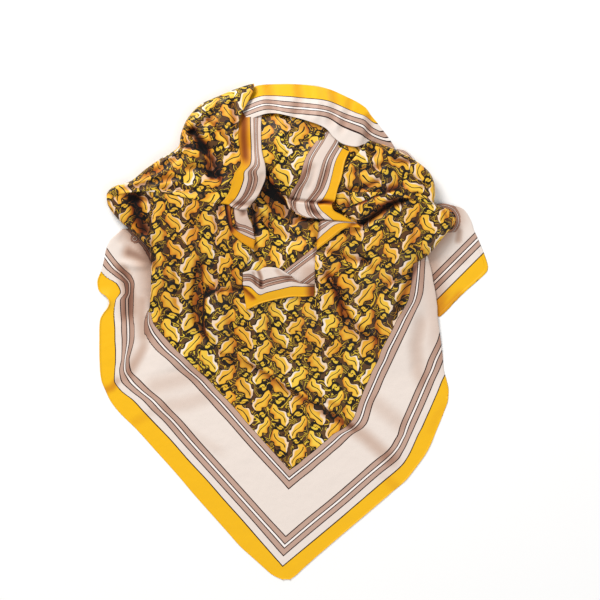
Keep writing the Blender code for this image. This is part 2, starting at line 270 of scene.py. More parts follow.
    ramps = [
        # name, what it follows, how it steps, its stops
        ("border", "hemNear", "CONSTANT", [(start / bandSpan, colour) for start, colour in bands]),
        ("leaf", "leafRamp", "LINEAR", [
            (0.2, "cream"), (0.27, "gold"), (0.66, "gold"), (0.85, "deepGold"), (1, "orange")]),
        ("shoot", "curlArm", "CONSTANT", [
            (0, "ground"), (0.36, "gold"), (0.56, "thread"), (0.84, "ground")]),
        # the dark ground carries brown shapes and yellow brush strokes
        ("backing", "strokes", "CONSTANT", [
            (0, "brown"), (0.35, "ground"), (0.4, "thread"), (0.46, "ground"), (0.5, "brown"),
            (0.57, "ground"), (0.62, "thread"), (0.68, "ground"), (0.72, "brown")]),
        ("tint", "chance", "LINEAR", [(0, "bare"), (1, "warm")]),
        ("paintedFoldDim", "folds", "LINEAR", paintedFoldShade),
        ("black", 0, "CONSTANT", [(0, "ground"), (1, "ground")]),
    ]
    for name, follows, way, stops in ramps:
        stops = [(start, silk.get(colour, colour)) for start, colour in stops]
        made[name] = addNode(tree, "ShaderNodeValToRGB", inputs={0: made.get(follows, follows)}, stops=stops)
        made[name].color_ramp.interpolation = way
    layers = [
        # name, where the upper one shows, lower, upper, how they meet
        ("shootDrawn", "inCurlCore", "black", "shoot", "MIX"),
        ("withShoots", "inCurl", "backing", "shootDrawn", "MIX"),
        ("withOutlines", "inOutline", "withShoots", "black", "MIX"),
        ("leafRibbed", "ribDrawn", "leaf", "black", "MIX"),
        ("withLeaves", "inLeaf", "withOutlines", "leafRibbed", "MIX"),
        ("field", silk["tintShare"], "withLeaves", "tint", "MULTIPLY"),
        ("printed", "inField", "border", "field", "MIX"),
        # painted shade: light in a fold meets dyed silk several times, so the colour is painted deeper and
        # then dimmer by the fold's share of shade
        ("paintedDeepening", "folds", "printed", "printed", "MULTIPLY"),
        ("shaded", 1, "paintedDeepening", "paintedFoldDim", "MULTIPLY"),
    ]
    for name, share, lower, upper, way in layers:
        made[name] = addNode(tree, "ShaderNodeMix", {"data_type": "RGBA", "blend_type": way},
                           {0: made.get(share, share), 6: made[lower], 7: made[upper]}).outputs[2]

    weave = addNode(tree, "ShaderNodeBump", inputs={
        "Strength": silk["weaveShare"], "Distance": silk["weaveDepth"] * mm, "Height": made["ribs"]})
    crumple = addNode(tree, "ShaderNodeTexNoise", inputs={
        "Vector": ownPlace, "Scale": 1000 / silk["crumple"], "Detail": 2})
    soft = addNode(tree, "ShaderNodeBump", inputs={
        "Strength": silk["crumpleShare"], "Distance": silk["crumpleDepth"] * mm,
        "Height": crumple, "Normal": weave})
    shader = addNode(tree, "ShaderNodeBsdfPrincipled", inputs={
        "Base Color": made["shaded"], "Roughness": made["roughness"], "Specular IOR Level": silk["gloss"],
        "Sheen Weight": silk["sheen"], "Sheen Roughness": silk["sheenRoughness"], "Normal": soft})
    addNode(tree, "ShaderNodeOutputMaterial", inputs={"Surface": shader})
    return material


twill = silkTwill()
print("material: printed silk twill")


heap = {
    # rises are where one starts and over how much it goes on
    "height": 34, "rise": (-95, 255), "backLoss": 0.35, "backFall": (290, 85),
    "sideLoss": 0.4, "side": 280,
    # the hollow: its middle and reach in x and in y, and its depth
    "hollowX": (-10, 45), "hollowY": (165, 60), "hollowDepth": 18, "wall": 1.6, "layer": 3,
    # the soft hills of cloth that was dropped, gone in the flat corner
    "hills": 1.9, "hillsRise": (-70, 130),
    # the largest ones: size, length across, bend, the bend's length, length along, start
    "bentHills": (0.6, 9.5, 1.4, 31, 27, 0.8),
    # size, share of x, share of y, length, start
    "straightHills": [(0.45, 1, 0.8, 14, 0.7), (0.4, 0.7, -1, 11.5, 2.1)],
}


def smooth(t):
    t = np.clip(t, 0, 1)
    return t * t * (3 - 2 * t)


def rising(value, start, over):
    # 0 up to the start, and from there a soft rise to 1 over this much
    return smooth((value - start) / over)


def bell(value, middle, reach):
    return np.exp(-(((value - middle) / reach) ** 2))


def waves(x, y, rows):
    return sum(size * np.sin((byX * x + byY * y) / length + start) for size, byX, byY, length, start in rows)


def pileHeight(x, y):
    back = 1 - heap["backLoss"] * rising(y, *heap["backFall"])
    side = 1 - heap["sideLoss"] * smooth(np.abs(x) / heap["side"])
    hollow = heap["hollowDepth"] * bell(x, *heap["hollowX"]) * bell(y, *heap["hollowY"])
    return heap["height"] * rising(y, *heap["rise"]) * back * side - hollow


def unevenness(x, y):
    size, length, bend, bendLength, lengthAlong, start = heap["bentHills"]
    bent = size * np.sin(x / length + bend * np.sin(y / bendLength)) * np.sin(y / lengthAlong + start)
    return heap["hills"] * rising(y, *heap["hillsRise"]) * (bent + waves(x, y, heap["straightHills"]))


def layerHeight(x, y, layer=0):
    return heap["wall"] + pileHeight(x, y) + layer * heap["layer"] + unevenness(x, y)


def onLayer(piece):
    return lambda x, y: layerHeight(x, y, piece["layer"])


def growing(least, more, rise):
    # a size that grows along a side
    return lambda *place: least + more * rising(place[-1], *rise)


def hanging(gap, least=0, rise=None):
    # a fold's depth where it hangs down from the heap and leaves this gap, all along or after a rise in x
    return lambda x, y: least + (layerHeight(x, y) - gap) * (rising(x, *rise) if rise else 1)


def hermite(t, start, end, startSlope, endSlope):
    # a smooth way from start to end that leaves and arrives at these slopes
    return ((2 * t**3 - 3 * t**2 + 1) * start + (t**3 - 2 * t**2 + t) * startSlope
            + (3 * t**2 - 2 * t**3) * end + (t**3 - t**2) * endSlope)


def lineThrough(at, knots, values):
    # a smooth line through measured points that doesn't overshoot them, straight beyond its ends
    at, k, v = np.asarray(at, float), np.asarray(knots, float), np.asarray(values, float)
    secant = np.diff(v) / np.diff(k)
    slope = np.zeros_like(v)
    before, after = secant[:-1], secant[1:]
    same = before * after > 0
    slope[1:-1][same] = 2 * before[same] * after[same] / (before + after)[same]
    slope[0], slope[-1] = secant[0], secant[-1]
    i = np.clip(np.searchsorted(k, at) - 1, 0, len(k) - 2)
    step = k[i + 1] - k[i]
    t = np.clip((at - k[i]) / step, 0, 1)
    line = hermite(t, v[i], v[i + 1], step * slope[i], step * slope[i + 1])
    return line + slope[0] * np.minimum(at - k[0], 0) + slope[-1] * np.maximum(at - k[-1], 0)


def curveThrough(rows, at):
    # a smooth curve through the rows of a table, where at counts rows
    rows = np.asarray(rows, float)
    i = np.clip(np.floor(at).astype(int), 0, len(rows) - 2)
    t = (at - i).reshape((-1,) + (1,) * (rows.ndim - 1))
    p0, p1 = rows[np.maximum(i - 1, 0)], rows[i]
    p2, p3 = rows[i + 1], rows[np.minimum(i + 2, len(rows) - 1)]
    return hermite(t, p1, p2, 0.5 * (p2 - p0), 0.5 * (p3 - p1))


def nearPath(x, y, path):
    # for each point: distance from a path, the same with its side, share along it, and the path's normal
    best = np.full_like(x, 1e9)
    sided, along, normalX, normalY = (np.zeros_like(x) for _ in range(4))
    lengths = [math.dist(a, b) for a, b in zip(path, path[1:])]
    total, done = sum(lengths), 0
    for (ax, ay), (bx, by), length in zip(path, path[1:], lengths):
        ux, uy = (bx - ax) / length, (by - ay) / length
        inside = np.clip((x - ax) * ux + (y - ay) * uy, 0, length)
        gap = np.hypot(x - ax - ux * inside, y - ay - uy * inside)
        near = gap < best
        best = np.where(near, gap, best)
        sided = np.where(near, np.sign((y - ay) * ux - (x - ax) * uy) * gap, sided)
        along = np.where(near, (done + inside) / total, along)
        normalX, normalY = np.where(near, -uy, normalX), np.where(near, ux, normalY)
        done += length
    return best, sided, along, normalX, normalY


# A crease fades out over a share of its length. A ledge's lift and shade reach so many times its width.
crease = {"fade": 0.22, "ledgeReach": 4.5, "shadeBelow": 1.6, "shadeAbove": 0.6}


def creaseShape(x, y, piece):
    # what the listed creases do at each point: lift, the cloth's slip into the fold, and shade
    lift, slipX, slipY, shade = (np.zeros_like(x) for _ in range(4))
    rows = [(width, depth, None, dark, path) for width, depth, dark, *path in piece.get("troughs", ())]
    rows += [(width, depth, slip, dark, path) for width, depth, slip, dark, *path in piece.get("ledges", ())]
    for width, depth, slip, dark, path in rows:
        away, sided, along, normalX, normalY = nearPath(x, y, path)
        ends = smooth(along / crease["fade"]) * smooth((1 - along) / crease["fade"])
        if slip is None:  # a trough
            bowl = np.where(away < width, np.cos(np.pi * away / (2 * width)) ** 2, 0) * ends
            lift -= depth * bowl
            # painted shade: a trough darkens the colour most along its middle
            shade += dark * bowl
        else:  # a ledge: high on the left of its path, and one fold of cloth lost under it
            step = smooth(sided / width + 0.5)
            far = bell(sided, 0, crease["ledgeReach"] * width) * ends
            below = bell(sided, 0, crease["shadeBelow"] * width)
            above = smooth(1 - sided / (crease["shadeAbove"] * width))
            lift += depth * (step - 0.5) * far
            # painted shade: a ledge darkens the colour on its low side and a little above its edge
            shade += dark * ends * np.where(sided < 0, below, above)
            slipX += slip * normalX * (step - 0.5) * far
            slipY += slip * normalY * (step - 0.5) * far
    return lift, slipX, slipY, np.clip(shade, 0, 1)


# A grid holds x, y, p and q (distance from the two hems) of each of its points, and later z, u, v and shade.
# Its sides are left and right for its first and last column, start and end for its first and last row.
cloth = {
    "shell": 0.4,  # silk is 0.1 mm; the thin shells get enough to stay whole in an export
    "hemRoll": 0.9,  # radius of the hand-rolled hem
    "hemUnder": 0.35,  # how far its inner turn hangs below
    # how far in from a hem the columns of its roll stand, and their side: -1 is the underside
    "hemColumns": [(0.35, -1), (0, 0), (0.2, 1), (0.55, 1), (0.95, 1), (1.4, 1), (1.8, 1)],
    # the columns of a fold, as shares of how far it turns under, and of how far its rounding reaches on top
    "underColumns": [1.7, 1, 0.5, 0.13], "topColumns": [0.12, 0.42],
    "toFloor": 0.05, "merge": 0.02, "collapse": 0.001,  # least gap to the floor; closer points merge
    "underMost": 0.26,  # the turned-under part stays inside a row that is short, by this share of it
    "printUnder": 2,  # the print goes on under a fold by twice what shows of it
}
farFromHem = 300  # as good as nowhere near a hem


def rimDrop(inset, side, reach, depth, hem):
    # how far below its own level the cloth lies, this far in from a finished side
    if hem:
        if side < 0:
            return inset * 0 + cloth["hemUnder"]
        return -np.sqrt(np.maximum(0, cloth["hemRoll"] ** 2 - (inset - cloth["hemRoll"]) ** 2))
    t = 1 - np.clip(inset / np.maximum(reach, 0.01), 0, 1)
    curve = np.sqrt(np.maximum(0, 1 - t * t))
    return 0.5 * depth * (1 + curve) if side < 0 else 0.5 * depth * (1 - curve)


def addRim(grid, rim):
    # finishes the side of a grid where its first column is: a rolled hem, or a fold with its reach and depth
    hem = rim == "hem"
    reach, depth = (1, 1) if hem else rim
    x, y = grid["x"], grid["y"]
    first = np.hypot(x[:, 1] - x[:, 0], y[:, 1] - y[:, 0])
    gaps = np.hypot(np.diff(x, axis=1), np.diff(y, axis=1))
    run = np.concatenate([np.zeros((len(x), 1)), np.cumsum(gaps, axis=1)], axis=1)
    depth = np.broadcast_to(depth(x[:, 0], y[:, 0]) if callable(depth) else depth, (len(x),))
    reach = np.broadcast_to(reach(y[:, 0]) if callable(reach) else reach, (len(x),))
    # round a fold, the print goes on outwards by as much as the cloth drops
    outward = {"drop": 1 + 0 * first}
    if hem:
        insets = [(np.full(len(x), inset), side) for inset, side in cloth["hemColumns"]]
    else:
        near, under = np.minimum(first, reach), np.minimum(reach, cloth["underMost"] * run[:, -1])
        insets = [(share * under, -1) for share in cloth["underColumns"]] + [(0 * reach, 0)]
        insets += [(share * near, 1) for share in cloth["topColumns"]]
        outward.update(slideX=(x[:, 0] - x[:, 1]) / first, slideY=(y[:, 0] - y[:, 1]) / first)
    finished = {}
    for name, values in grid.items():
        edge, second = values[:, 0], values[:, 1]
        new = [edge + (second - edge) * inset / first for inset, _ in insets]
        if name in outward:
            under = 0 if name == "drop" else cloth["printUnder"]
            drops = [rimDrop(inset, side, reach, depth, hem) + under * inset * (side < 0)
                     for inset, side in insets]
            new = [value + outward[name] * drop for value, drop in zip(new, drops)]
            values = values + outward[name][:, None] * rimDrop(run, 1, reach[:, None], depth[:, None], hem)
        finished[name] = np.column_stack(new + [values[:, 1:]])
    return finished


# How a grid is turned so that a side comes first, and back.
flips = {
    "left": (lambda v: v, lambda v: v), "right": (lambda v: v[:, ::-1], lambda v: v[:, ::-1]),
    "start": (lambda v: v.T, lambda v: v.T), "end": (lambda v: v[::-1].T, lambda v: v.T[::-1]),
}


def addRims(grid, rims):
    grid = {**{name: np.zeros_like(grid["x"]) for name in ("drop", "slideX", "slideY")}, **grid}
    for side, rim in rims.items():
        turn, turnBack = flips[side]
        turned = addRim({name: turn(values) for name, values in grid.items()}, rim)
        grid = {name: turnBack(values) for name, values in turned.items()}
    return grid


def netGrid(net):
    # a grid through the points of a net's rows; its stations are the points' distances from the hem
    points = np.array([[(*point, 0)[:3] for point in row] for row in net["rows"]], float)
    stations = np.broadcast_to(np.array(net.get("stations", farFromHem), float), points.shape[:2])
    table = np.concatenate([points, stations[..., None]], axis=2)
    for axis in (0, 1):
        spans = np.hypot(*np.moveaxis(np.diff(points[..., :2], axis=axis), 2, 0)).max(axis=1 - axis)
        counts = [max(2, int(round(span / net["pitch"])) + 1) for span in spans]
        runs = [np.linspace(k, k + 1, count)[:-1] for k, count in enumerate(counts)]
        table = curveThrough(table.swapaxes(0, axis), np.concatenate(runs + [[len(spans)]])).swapaxes(0, axis)
    grid = {name: table[..., k] for k, name in enumerate(("x", "y", "lift", "p"))}
    grid["q"] = np.full_like(grid["p"], farFromHem)
    return addRims(grid, net["rims"])


# The print wanders where the cloth is gathered up, and lies straight in the flat corner.
drift = {
    "most": 8, "rise": (-110, 170),
    # size, share of x, share of y, length, start
    "sideways": [(0.6, 0, 1, 47, 0.6), (0.6, 1, 1, 63, 0)],
    "lengthways": [(0.7, 1, 0, 52, 1.3), (0.5, 1, -1, 71, 2)],
}


def finishGrid(grid, height, piece):
    # height, print place and shade for a grid that has its places and its rims
    x, y = grid["x"], grid["y"]
    lift, slipX, slipY, dark = creaseShape(x, y, piece)
    grid["z"] = height(x, y) + grid.get("lift", 0) + lift - grid["drop"]
    much = drift["most"] * rising(y, *drift["rise"])
    px = x + grid["slideX"] + slipX + much * waves(x, y, drift["sideways"])
    py = y + grid["slideY"] + slipY + much * waves(x, y, drift["lengthways"])
    turn = piece.get("turn", 0)
    grid["u"] = px * math.cos(turn) - py * math.sin(turn)
    grid["v"] = px * math.sin(turn) + py * math.cos(turn)
    # painted shade: the creases' shade, the grid's own shade and the piece's even shade, kept for the
    # material
    grid["shade"] = np.clip(np.maximum(dark, grid.get("dark", 0)) + piece.get("shade", 0), 0, 1)
    return grid


def gridFaces(grid, base):
    # quads between a grid's points, turned so that their normals point up
    x, y = grid["x"], grid["y"]
    index = base + np.arange(x.size).reshape(x.shape)
    quads = np.stack([index[:-1, :-1], index[:-1, 1:], index[1:, 1:], index[1:, :-1]], axis=-1).reshape(-1, 4)
    r, c = x.shape[0] // 2, x.shape[1] // 2
    up = (x[r, c + 1] - x[r, c]) * (y[r + 1, c] - y[r, c]) - (y[r, c + 1] - y[r, c]) * (x[r + 1, c] - x[r, c])
    return quads if up > 0 else quads[:, ::-1]


def clothPiece(name, sheet, grids, closed=False):
    # one piece of cloth from grids that meet on shared points
    faces, base = [], 0
    for grid in grids:
        faces.append(gridFaces(grid, base))
        base += grid["x"].size

    def column(*keys):
        return np.stack([np.concatenate([grid[key].ravel() for grid in grids]) for key in keys], axis=-1)

    corners = column("x", "y", "z")
    corners[:, 2] = np.maximum(corners[:, 2], cloth["shell"] + cloth["toFloor"])
    mesh = bpy.data.meshes.new(name)
    mesh.from_pydata((corners * mm).tolist(), [], np.concatenate(faces).tolist())
    loops = np.array([loop.vertex_index for loop in mesh.loops])
    for uvName, keys, span in (("hemDistance", "pq", bandSpan), ("fieldPlace", "uv", placeSpan)):
        layer = mesh.uv_layers.new(name=uvName)
        layer.data.foreach_set("uv", (column(*keys) / span)[loops].astype(np.float32).ravel())
    shade = mesh.attributes.new("foldShade", "FLOAT", "POINT")
    shade.data.foreach_set("value", column("shade").astype(np.float32).ravel())
    bm = bmesh.new()
    bm.from_mesh(mesh)
    bmesh.ops.remove_doubles(bm, verts=bm.verts, dist=cloth["merge"] * mm)
    bmesh.ops.dissolve_degenerate(bm, edges=bm.edges, dist=cloth["collapse"] * mm)
    bm.to_mesh(mesh)
    bm.free()
    mesh.shade_smooth()
    mesh.materials.append(twill)
    piece = bpy.data.objects.new(name, mesh)
    bpy.context.scene.collection.objects.link(piece)
    if not closed:
        wall = piece.modifiers.new("clothWall", "SOLIDIFY")
        wall.thickness, wall.offset = cloth["shell"] * mm, -1
    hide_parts(*sheet["nodes"])
    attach(piece, "root")
    real = sum(face.area for face in mesh.polygons)
    print(f"cloth: {name}, {len(mesh.polygons)} faces, {real:.4f} m2")


def layNet(name, net):
    # a piece made from one net that follows the heap
    clothPiece(name, net, [finishGrid(netGrid(net), onLayer(net), net)])


spread = {
    "nodes": ("front_corner", "front_panel", "left_border", "right_border", "left_pleats", "right_pleats"),
    "slot": "gold_print", "held": "laid", "restsOn": ["paleFloor", "foldedLayers"],
    "flat": (0.56, 0.58), "area": 0.24, "pitch": 3,
    # columns of faces in each stretch of a row, and the narrow one at both ends of a stretch
    "columns": {"border": 22, "leftPleats": 48, "hollow": 36, "rightPleats": 42, "rightEdge": 20},
    "narrow": 4, "narrowShare": 0.2,
    # where the pleats' left lip, the hollow and the pleats' right lip begin
    "leftLipFrom": 20, "hollowFrom": 58, "rightLipFrom": 101,
    # heights, and rises as where one starts and over how much it goes on
    "onFloor": 0.5, "heapRise": (-95, 60), "leftRise": (40, 95), "rightRise": (2, 46),
    "rightFoldHeight": 5, "rightFoldRise": (-95, 125),
    "leftLipRise": (20, 34), "rightLipRise": (101, 26),
    "borderHeight": 0.9, "borderRise": (20, 26), "borderEnd": 1.6, "borderEndRise": (80, 60),
    # the wave in the left hem: height, and its middle and reach in x and in y
    "wave": (4, (-279, 14), (47, 13)),
    # the soft shade where the heap stands over the border, its darkness by place, and how far it reaches
    "borderShades": [(0.3, (0, 60)), (0.35, (120, 26)), (0.18, (-90, 90))],
    "pleatShade": (0.11, (10, 60), (110, 120)),
    "lipReach": 24, "foldReach": 22, "overlap": 2, "foldShadeTo": 105,
    # the folds: reach and depth, and for one that grows along its side, least, how much more, and its rise
    "folds": {"hollow": (5, 3), "wave": (4, 1.6)},
    "foldGrows": (0.5, 4.5, (-97, 40)), "foldDeepens": (0.4, 2.2, (-97, 50)),
    "lipGrows": (1, 13, (20, 40)), "rightLipGrows": (1, 12, (101, 30)),
    # the lips hang down to the border: the gaps they leave, and the least depth
    "lipGap": (2.6, 3.6, (60, 60)), "rightLipGap": 1, "rightLipFloor": 6, "lipLeast": 0.3,
    # how far the border runs in under the left lip, and where its edge is under the right one
    "underLip": 20, "underRightLip": [(101, 182), (126, 192)], "leftBandsTo": 30,
    # The outline of the flat corner, up to where the heap's edge folds begin.
    #    y     left  right
    "outline": [
        (-372, -14, -3), (-368, -24, 3), (-364, -31, 8), (-358, -38, 14), (-349, -48, 24), (-340, -58, 34),
        (-322, -78, 55), (-304, -94, 76), (-277, -118, 108), (-241, -150, 150), (-223, -165, 171),
        (-208, -178, 183), (-178, -205, 204), (-148, -232, 217), (-118, -262, 229), (-103, -273, 234),
        (-88, -280, 235), (-73, -286, 232), (-58, -288, 228), (-28, -289, 225), (2, -289, 221),
        (17, -288, 219), (29, -282, 218), (35, -277, 218),
        (44, -274, 217), (53, -279, 216), (59, -288, 215), (65, -291, 214), (74, -292, 212), (92, -286, 209),
        (107, -282, 205), (122, -279, 201), (137, -273, 199), (145, -264, 198), (152, -256, 198),
    ],
    # how far from the hem the lines in the next two tables are
    "stations": [0, 27, 37, 59, 109, 130],
    # Where each printed line crosses a row, counted from the left hem.
    #    y    hem    trim  stripe blush  pair   field
    "leftBands": [
        (-337, -61, -28, -13, 15, 85, 113),
        (-313, -85, -49, -34, -5, 64, 91),
        (-283, -113, -75, -60, -33, 36, 63),
        (-253, -139, -102, -87, -60, 9, 37),
        (-223, -165, -128, -114, -87, -17, 10),
        (-193, -192, -156, -141, -114, -45, -17),
        (-163, -220, -182, -168, -141, -72, -44),
        (-133, -249, -211, -194, -167, -98, -71),
        (-118, -262, -225, -210, -182, -112, -83),
        (-103, -273, -239, -224, -196, -125, -97),
        (-88, -280, -258, -243, -214, -139, -112),
        (-73, -286, -267, -257, -229, -153, -125),
        (-58, -288, -266, -259, -243, -171, -142),
        (-43, -289, -265, -256, -245, -186, -157),
        (-28, -289, -265, -255, -241, -204, -173),
        (-13, -289, -266, -255, -237, -216, -187),
        (2, -289, -266, -256, -236, -223, -200),
        (14, -288, -267, -256, -237, -222, -209),
        (28, -282, -268, -257, -238, -217, -212),
        (47, -274, -265, -258, -238, -205, -202),
        (59, -288, -257, -250, -238, -201, -198),
        (71, -292, -263, -251, -237, -200, -196),
        (83, -291, -283, -265, -241, -200, -196),
        (95, -298, -292, -280, -254, -202, -196),
        (107, -307, -300, -288, -265, -212, -203),
        (116, -313, -306, -294, -272, -217, -208),
        (126, -321, -312, -301, -279, -223, -213),
        (137, -329, -320, -309, -287, -232, -224),
        (152, -339, -330, -319, -297, -246, -238),
    ],
    # The same lines counted from the right hem.
    "rightBands": [
        (-337, 38, 5, -13, -43, -125, -158),
        (-313, 66, 34, 15, -15, -96, -130),
        (-283, 101, 70, 51, 20, -60, -94),
        (-253, 136, 105, 87, 57, -24, -58),
        (-223, 171, 140, 121, 92, 11, -22),
        (-208, 183, 158, 139, 109, 30, -4),
        (-199, 189, 167, 151, 119, 40, 9),
        (-190, 195, 173, 161, 130, 51, 19),
        (-181, 202, 178, 166, 142, 61, 31),
        (-172, 207, 182, 171, 150, 72, 41),
        (-163, 211, 186, 175, 155, 81, 52),
        (-154, 215, 190, 179, 160, 91, 62),
        (-145, 218, 195, 183, 162, 106, 78),
        (-136, 222, 199, 187, 165, 113, 88),
        (-127, 226, 203, 191, 169, 116, 94),
        (-109, 232, 211, 199, 177, 121, 100),
        (-88, 241, 220, 208, 186, 131, 108),
        (-73, 250, 226, 214, 193, 137, 115),
        (-58, 258, 234, 221, 200, 144, 121),
        (-43, 267, 241, 227, 205, 151, 129),
        (-28, 276, 249, 234, 212, 158, 134),
        (-13, 282, 255, 240, 219, 165, 142),
        (2, 288, 261, 246, 223, 172, 150),
        (17, 290, 263, 247, 226, 179, 157),
        (32, 290, 263, 247, 227, 186, 166),
        (47, 290, 263, 247, 228, 193, 174),
        (62, 290, 263, 247, 228, 197, 177),
        (92, 290, 263, 247, 228, 199, 181),
        (122, 290, 263, 247, 228, 201, 183),
    ],
    # The edges of the pleated cloth above the flat corner, as y and x.
    "leftLip": [
        (20, -220), (34, -214), (58, -212), (92, -211), (110, -212), (125, -214), (137, -226), (152, -242),
        (167, -259), (175, -266), (183, -272), (191, -276), (200, -277), (206, -275), (212, -269),
    ],
    "hollowLeft": [
        (20, -72), (58, -70), (71, -74), (89, -73), (98, -68), (110, -63), (125, -59), (137, -62), (150, -72),
        (165, -76), (185, -80), (212, -84),
    ],
    "hollowRight": [
        (20, 35), (58, 33), (71, 34), (100, 34), (119, 36), (125, 38), (137, 47), (150, 58), (165, 72),
        (185, 84), (208, 90),
    ],
    "rightSeam": [(20, 160), (58, 176), (101, 182)],
    "rightLip": [
        (101, 182), (105, 189), (109, 196), (113, 202), (125, 213), (137, 223), (148, 232), (158, 240),
        (167, 244), (176, 240), (184, 231), (188, 220), (192, 213), (208, 212),
    ],
    "beyondField": 0.75,  # the pace at which the distance goes on inside the last line
    # the printed border's little curl under the left lip: middle and radius
    "borderCurl": (-236, 139, 7),
    "troughs": [  # half width, depth, shade, path
        # left pleats
        (13, 9, 1, (-136, 116), (-140, 80), (-142, 44), (-138, 2)),
        (6, 3, 0.5, (-134, 53), (-100, 62), (-66, 61)),
        (6, 2.5, 0.35, (-118, 108), (-112, 76), (-100, 56)),
        (7, 2.5, 0.35, (-172, 20), (-178, 70), (-172, 130)),
        (8, 2.5, 0.3, (-192, 190), (-188, 120), (-192, 50)),
        (16, 10, 0.95, (-238, 222), (-234, 190), (-226, 162), (-217, 134)),
        (9, 3, 0.5, (-258, 206), (-246, 200), (-226, 198), (-204, 200)),
        (9, 3, 0.3, (-100, 40), (-92, 0), (-80, -40)),
        (6, 2.5, 0.4, (-120, -14), (-108, -32), (-82, -52)),
        (9, 3, 0.6, (-114, 206), (-109, 188), (-104, 168)),
        (10, 2.5, 0.3, (-92, 104), (-86, 80), (-84, 56)),
        # right pleats
        (11, 7, 0.85, (44, 98), (58, 78), (68, 57), (76, 34), (84, 2)),
        (7, 4, 0.5, (38, 128), (62, 118), (90, 108), (126, 104)),
        (7, 3.5, 0.4, (90, 128), (106, 108), (128, 88)),
        (9, 3, 0.6, (192, 116), (177, 80), (162, 44), (146, 8)),
        (7, 4, 0.4, (186, 176), (182, 150), (178, 118)),
        (5, 3, 0.45, (224, 186), (230, 174), (231, 162)),
        (12, 7, 1, (84, 154), (108, 164), (128, 178), (146, 190), (166, 198), (184, 200)),
        (8, 3, 0.35, (60, 158), (84, 148), (104, 150)),
        (7, 3.5, 0.45, (72, 34), (92, 14), (114, -8)),
        (8, 3, 0.35, (120, 40), (128, 4), (126, -34)),
        # front
        (8, 2.5, 0.35, (10, -82), (48, -102), (88, -122)),
        (8, 3, 0.45, (36, -116), (70, -134), (102, -148)),
        (8, 3, 0.35, (-40, 22), (-26, -16), (8, -44)),
        (8, 2.5, 0.25, (-96, -24), (-84, -62), (-52, -112)),
        (8, 2.5, 0.1, (30, 34), (44, -4), (80, -48)),
        # left border
        (13, 4, 0.3, (-216, -10), (-232, -42), (-252, -76)),
        (24, 3.5, 0.16, (-120, -58), (-176, -74), (-228, -88)),
        (22, 3, 0.14, (-112, -92), (-160, -108), (-206, -116)),
        (10, 2, 0.3, (-256, -66), (-270, -84), (-290, -92)),
        (15, 2, 0.08, (-210, -112), (-160, -150), (-90, -190)),
        (12, 1.5, 0.09, (-196, -112), (-218, -126), (-246, -142)),
        (8, 3, 0.5, (-212, 146), (-210, 126), (-207, 100)),
        (16, 3.5, 0.56, (-192, 92), (-212, 104), (-234, 115), (-260, 124)),
        (8, -3, 0, (-212, 100), (-236, 98), (-262, 104)),
        (18, 2.5, 0.34, (-223, 66), (-226, 30), (-222, 0), (-220, -24)),
        (17, 1.5, 0.55, (-266, 108), (-252, 86), (-245, 64), (-246, 36), (-247, 6)),
        (12, 2, 0.16, (-262, 142), (-244, 132), (-226, 136)),
        # right border
        (19, 4.5, 0.28, (80, -138), (110, -158), (132, -178), (150, -194), (166, -208)),
        (22, 3.5, 0.15, (112, -96), (138, -118), (176, -150)),
        (10, 3, 0.05, (236, -104), (216, -128), (204, -160)),
        (14, 1.5, 0.09, (128, -206), (146, -224), (166, -244)),
        (12, 3, 0.06, (160, 8), (178, 40), (186, 84)),
        (20, 3, 0.2, (204, -96), (190, -60), (186, -20), (200, 40)),
    ],
    "ledges": [  # width, height, slip, shade, path
        # left pleats
        (6, 11, 12, 0.95, (-100, 64), (-120, 60), (-130, 50), (-133, 28), (-131, 2), (-120, -22)),
        (5, 3.5, 3, 0.4, (-150, 192), (-144, 150), (-150, 104)),
        (5, 3.5, 3, 0.5, (-116, 184), (-110, 150), (-120, 116)),
        (5, 7, 6, 0.35, (-208, 214), (-208, 178), (-211, 152), (-217, 132)),
        # right pleats
        (6, 5, 4, 0.5, (182, 88), (164, 82), (146, 70), (132, 52)),
        # front
        (5, 3.5, 3, 0.6, (-96, -20), (-69, -44), (-42, -60), (-10, -82), (20, -100), (65, -122), (100, -146)),
        (5, 2.5, 2, 0.4, (74, 14), (104, -2), (138, -12)),
        # left border
        (7, 3, 0, 0.12, (-250, -62), (-246, -40), (-246, 0), (-247, 26)),
    ],
}


def readOff(table, y, column=1):
    # a column of a table that counts in y, read between its rows
    return lineThrough(y, [row[0] for row in table], [row[column] for row in table])


def edgeLine(name, column=1):
    return lambda y: readOff(spread[name], y, column)


edges = {name: edgeLine(name) for name in ("leftLip", "hollowLeft", "hollowRight", "rightSeam", "rightLip")}
edges["hem"], edges["rightFold"] = edgeLine("outline"), edgeLine("outline", 2)
edges["underLip"] = lambda y: edges["leftLip"](y) + spread["underLip"] * rising(y, *spread["borderRise"])
edges["underRightLip"] = edgeLine("underRightLip")


def bandDistance(x, y, table, way):
    # distance from a hem at each point, from where the printed lines cross its row
    rowsAt, back = np.unique(y, return_inverse=True)
    stations = spread["stations"]
    lines = np.stack([readOff(table, rowsAt, k + 1) for k in range(len(stations))], axis=1)
    lines = lines[back.reshape(x.shape)]
    distance = np.zeros_like(x)
    for k in range(len(stations) - 1):
        t = (x - lines[..., k]) / (lines[..., k + 1] - lines[..., k])
        value = stations[k] + (stations[k + 1] - stations[k]) * t
        distance = value if k == 0 else np.where(t >= 0, value, distance)
    past = way * (x - lines[..., -1])
    return np.where(past > 0, stations[-1] + spread["beyondField"] * past, distance)


def spreadHeight(x, y):
    # the left hem lies on the floor, and the right side rises from the floor to a fold on the other corner
    floor = spread["onFloor"]
    low = floor + spread["rightFoldHeight"] * rising(y, *spread["rightFoldRise"])
    top = floor + (layerHeight(x, y) - floor) * rising(y, *spread["heapRise"])
    fromLeft = floor + (top - floor) * rising(x - edges["hem"](y), *spread["leftRise"])
    return low + (fromLeft - low) * rising(edges["rightFold"](y) - x, *spread["rightRise"])


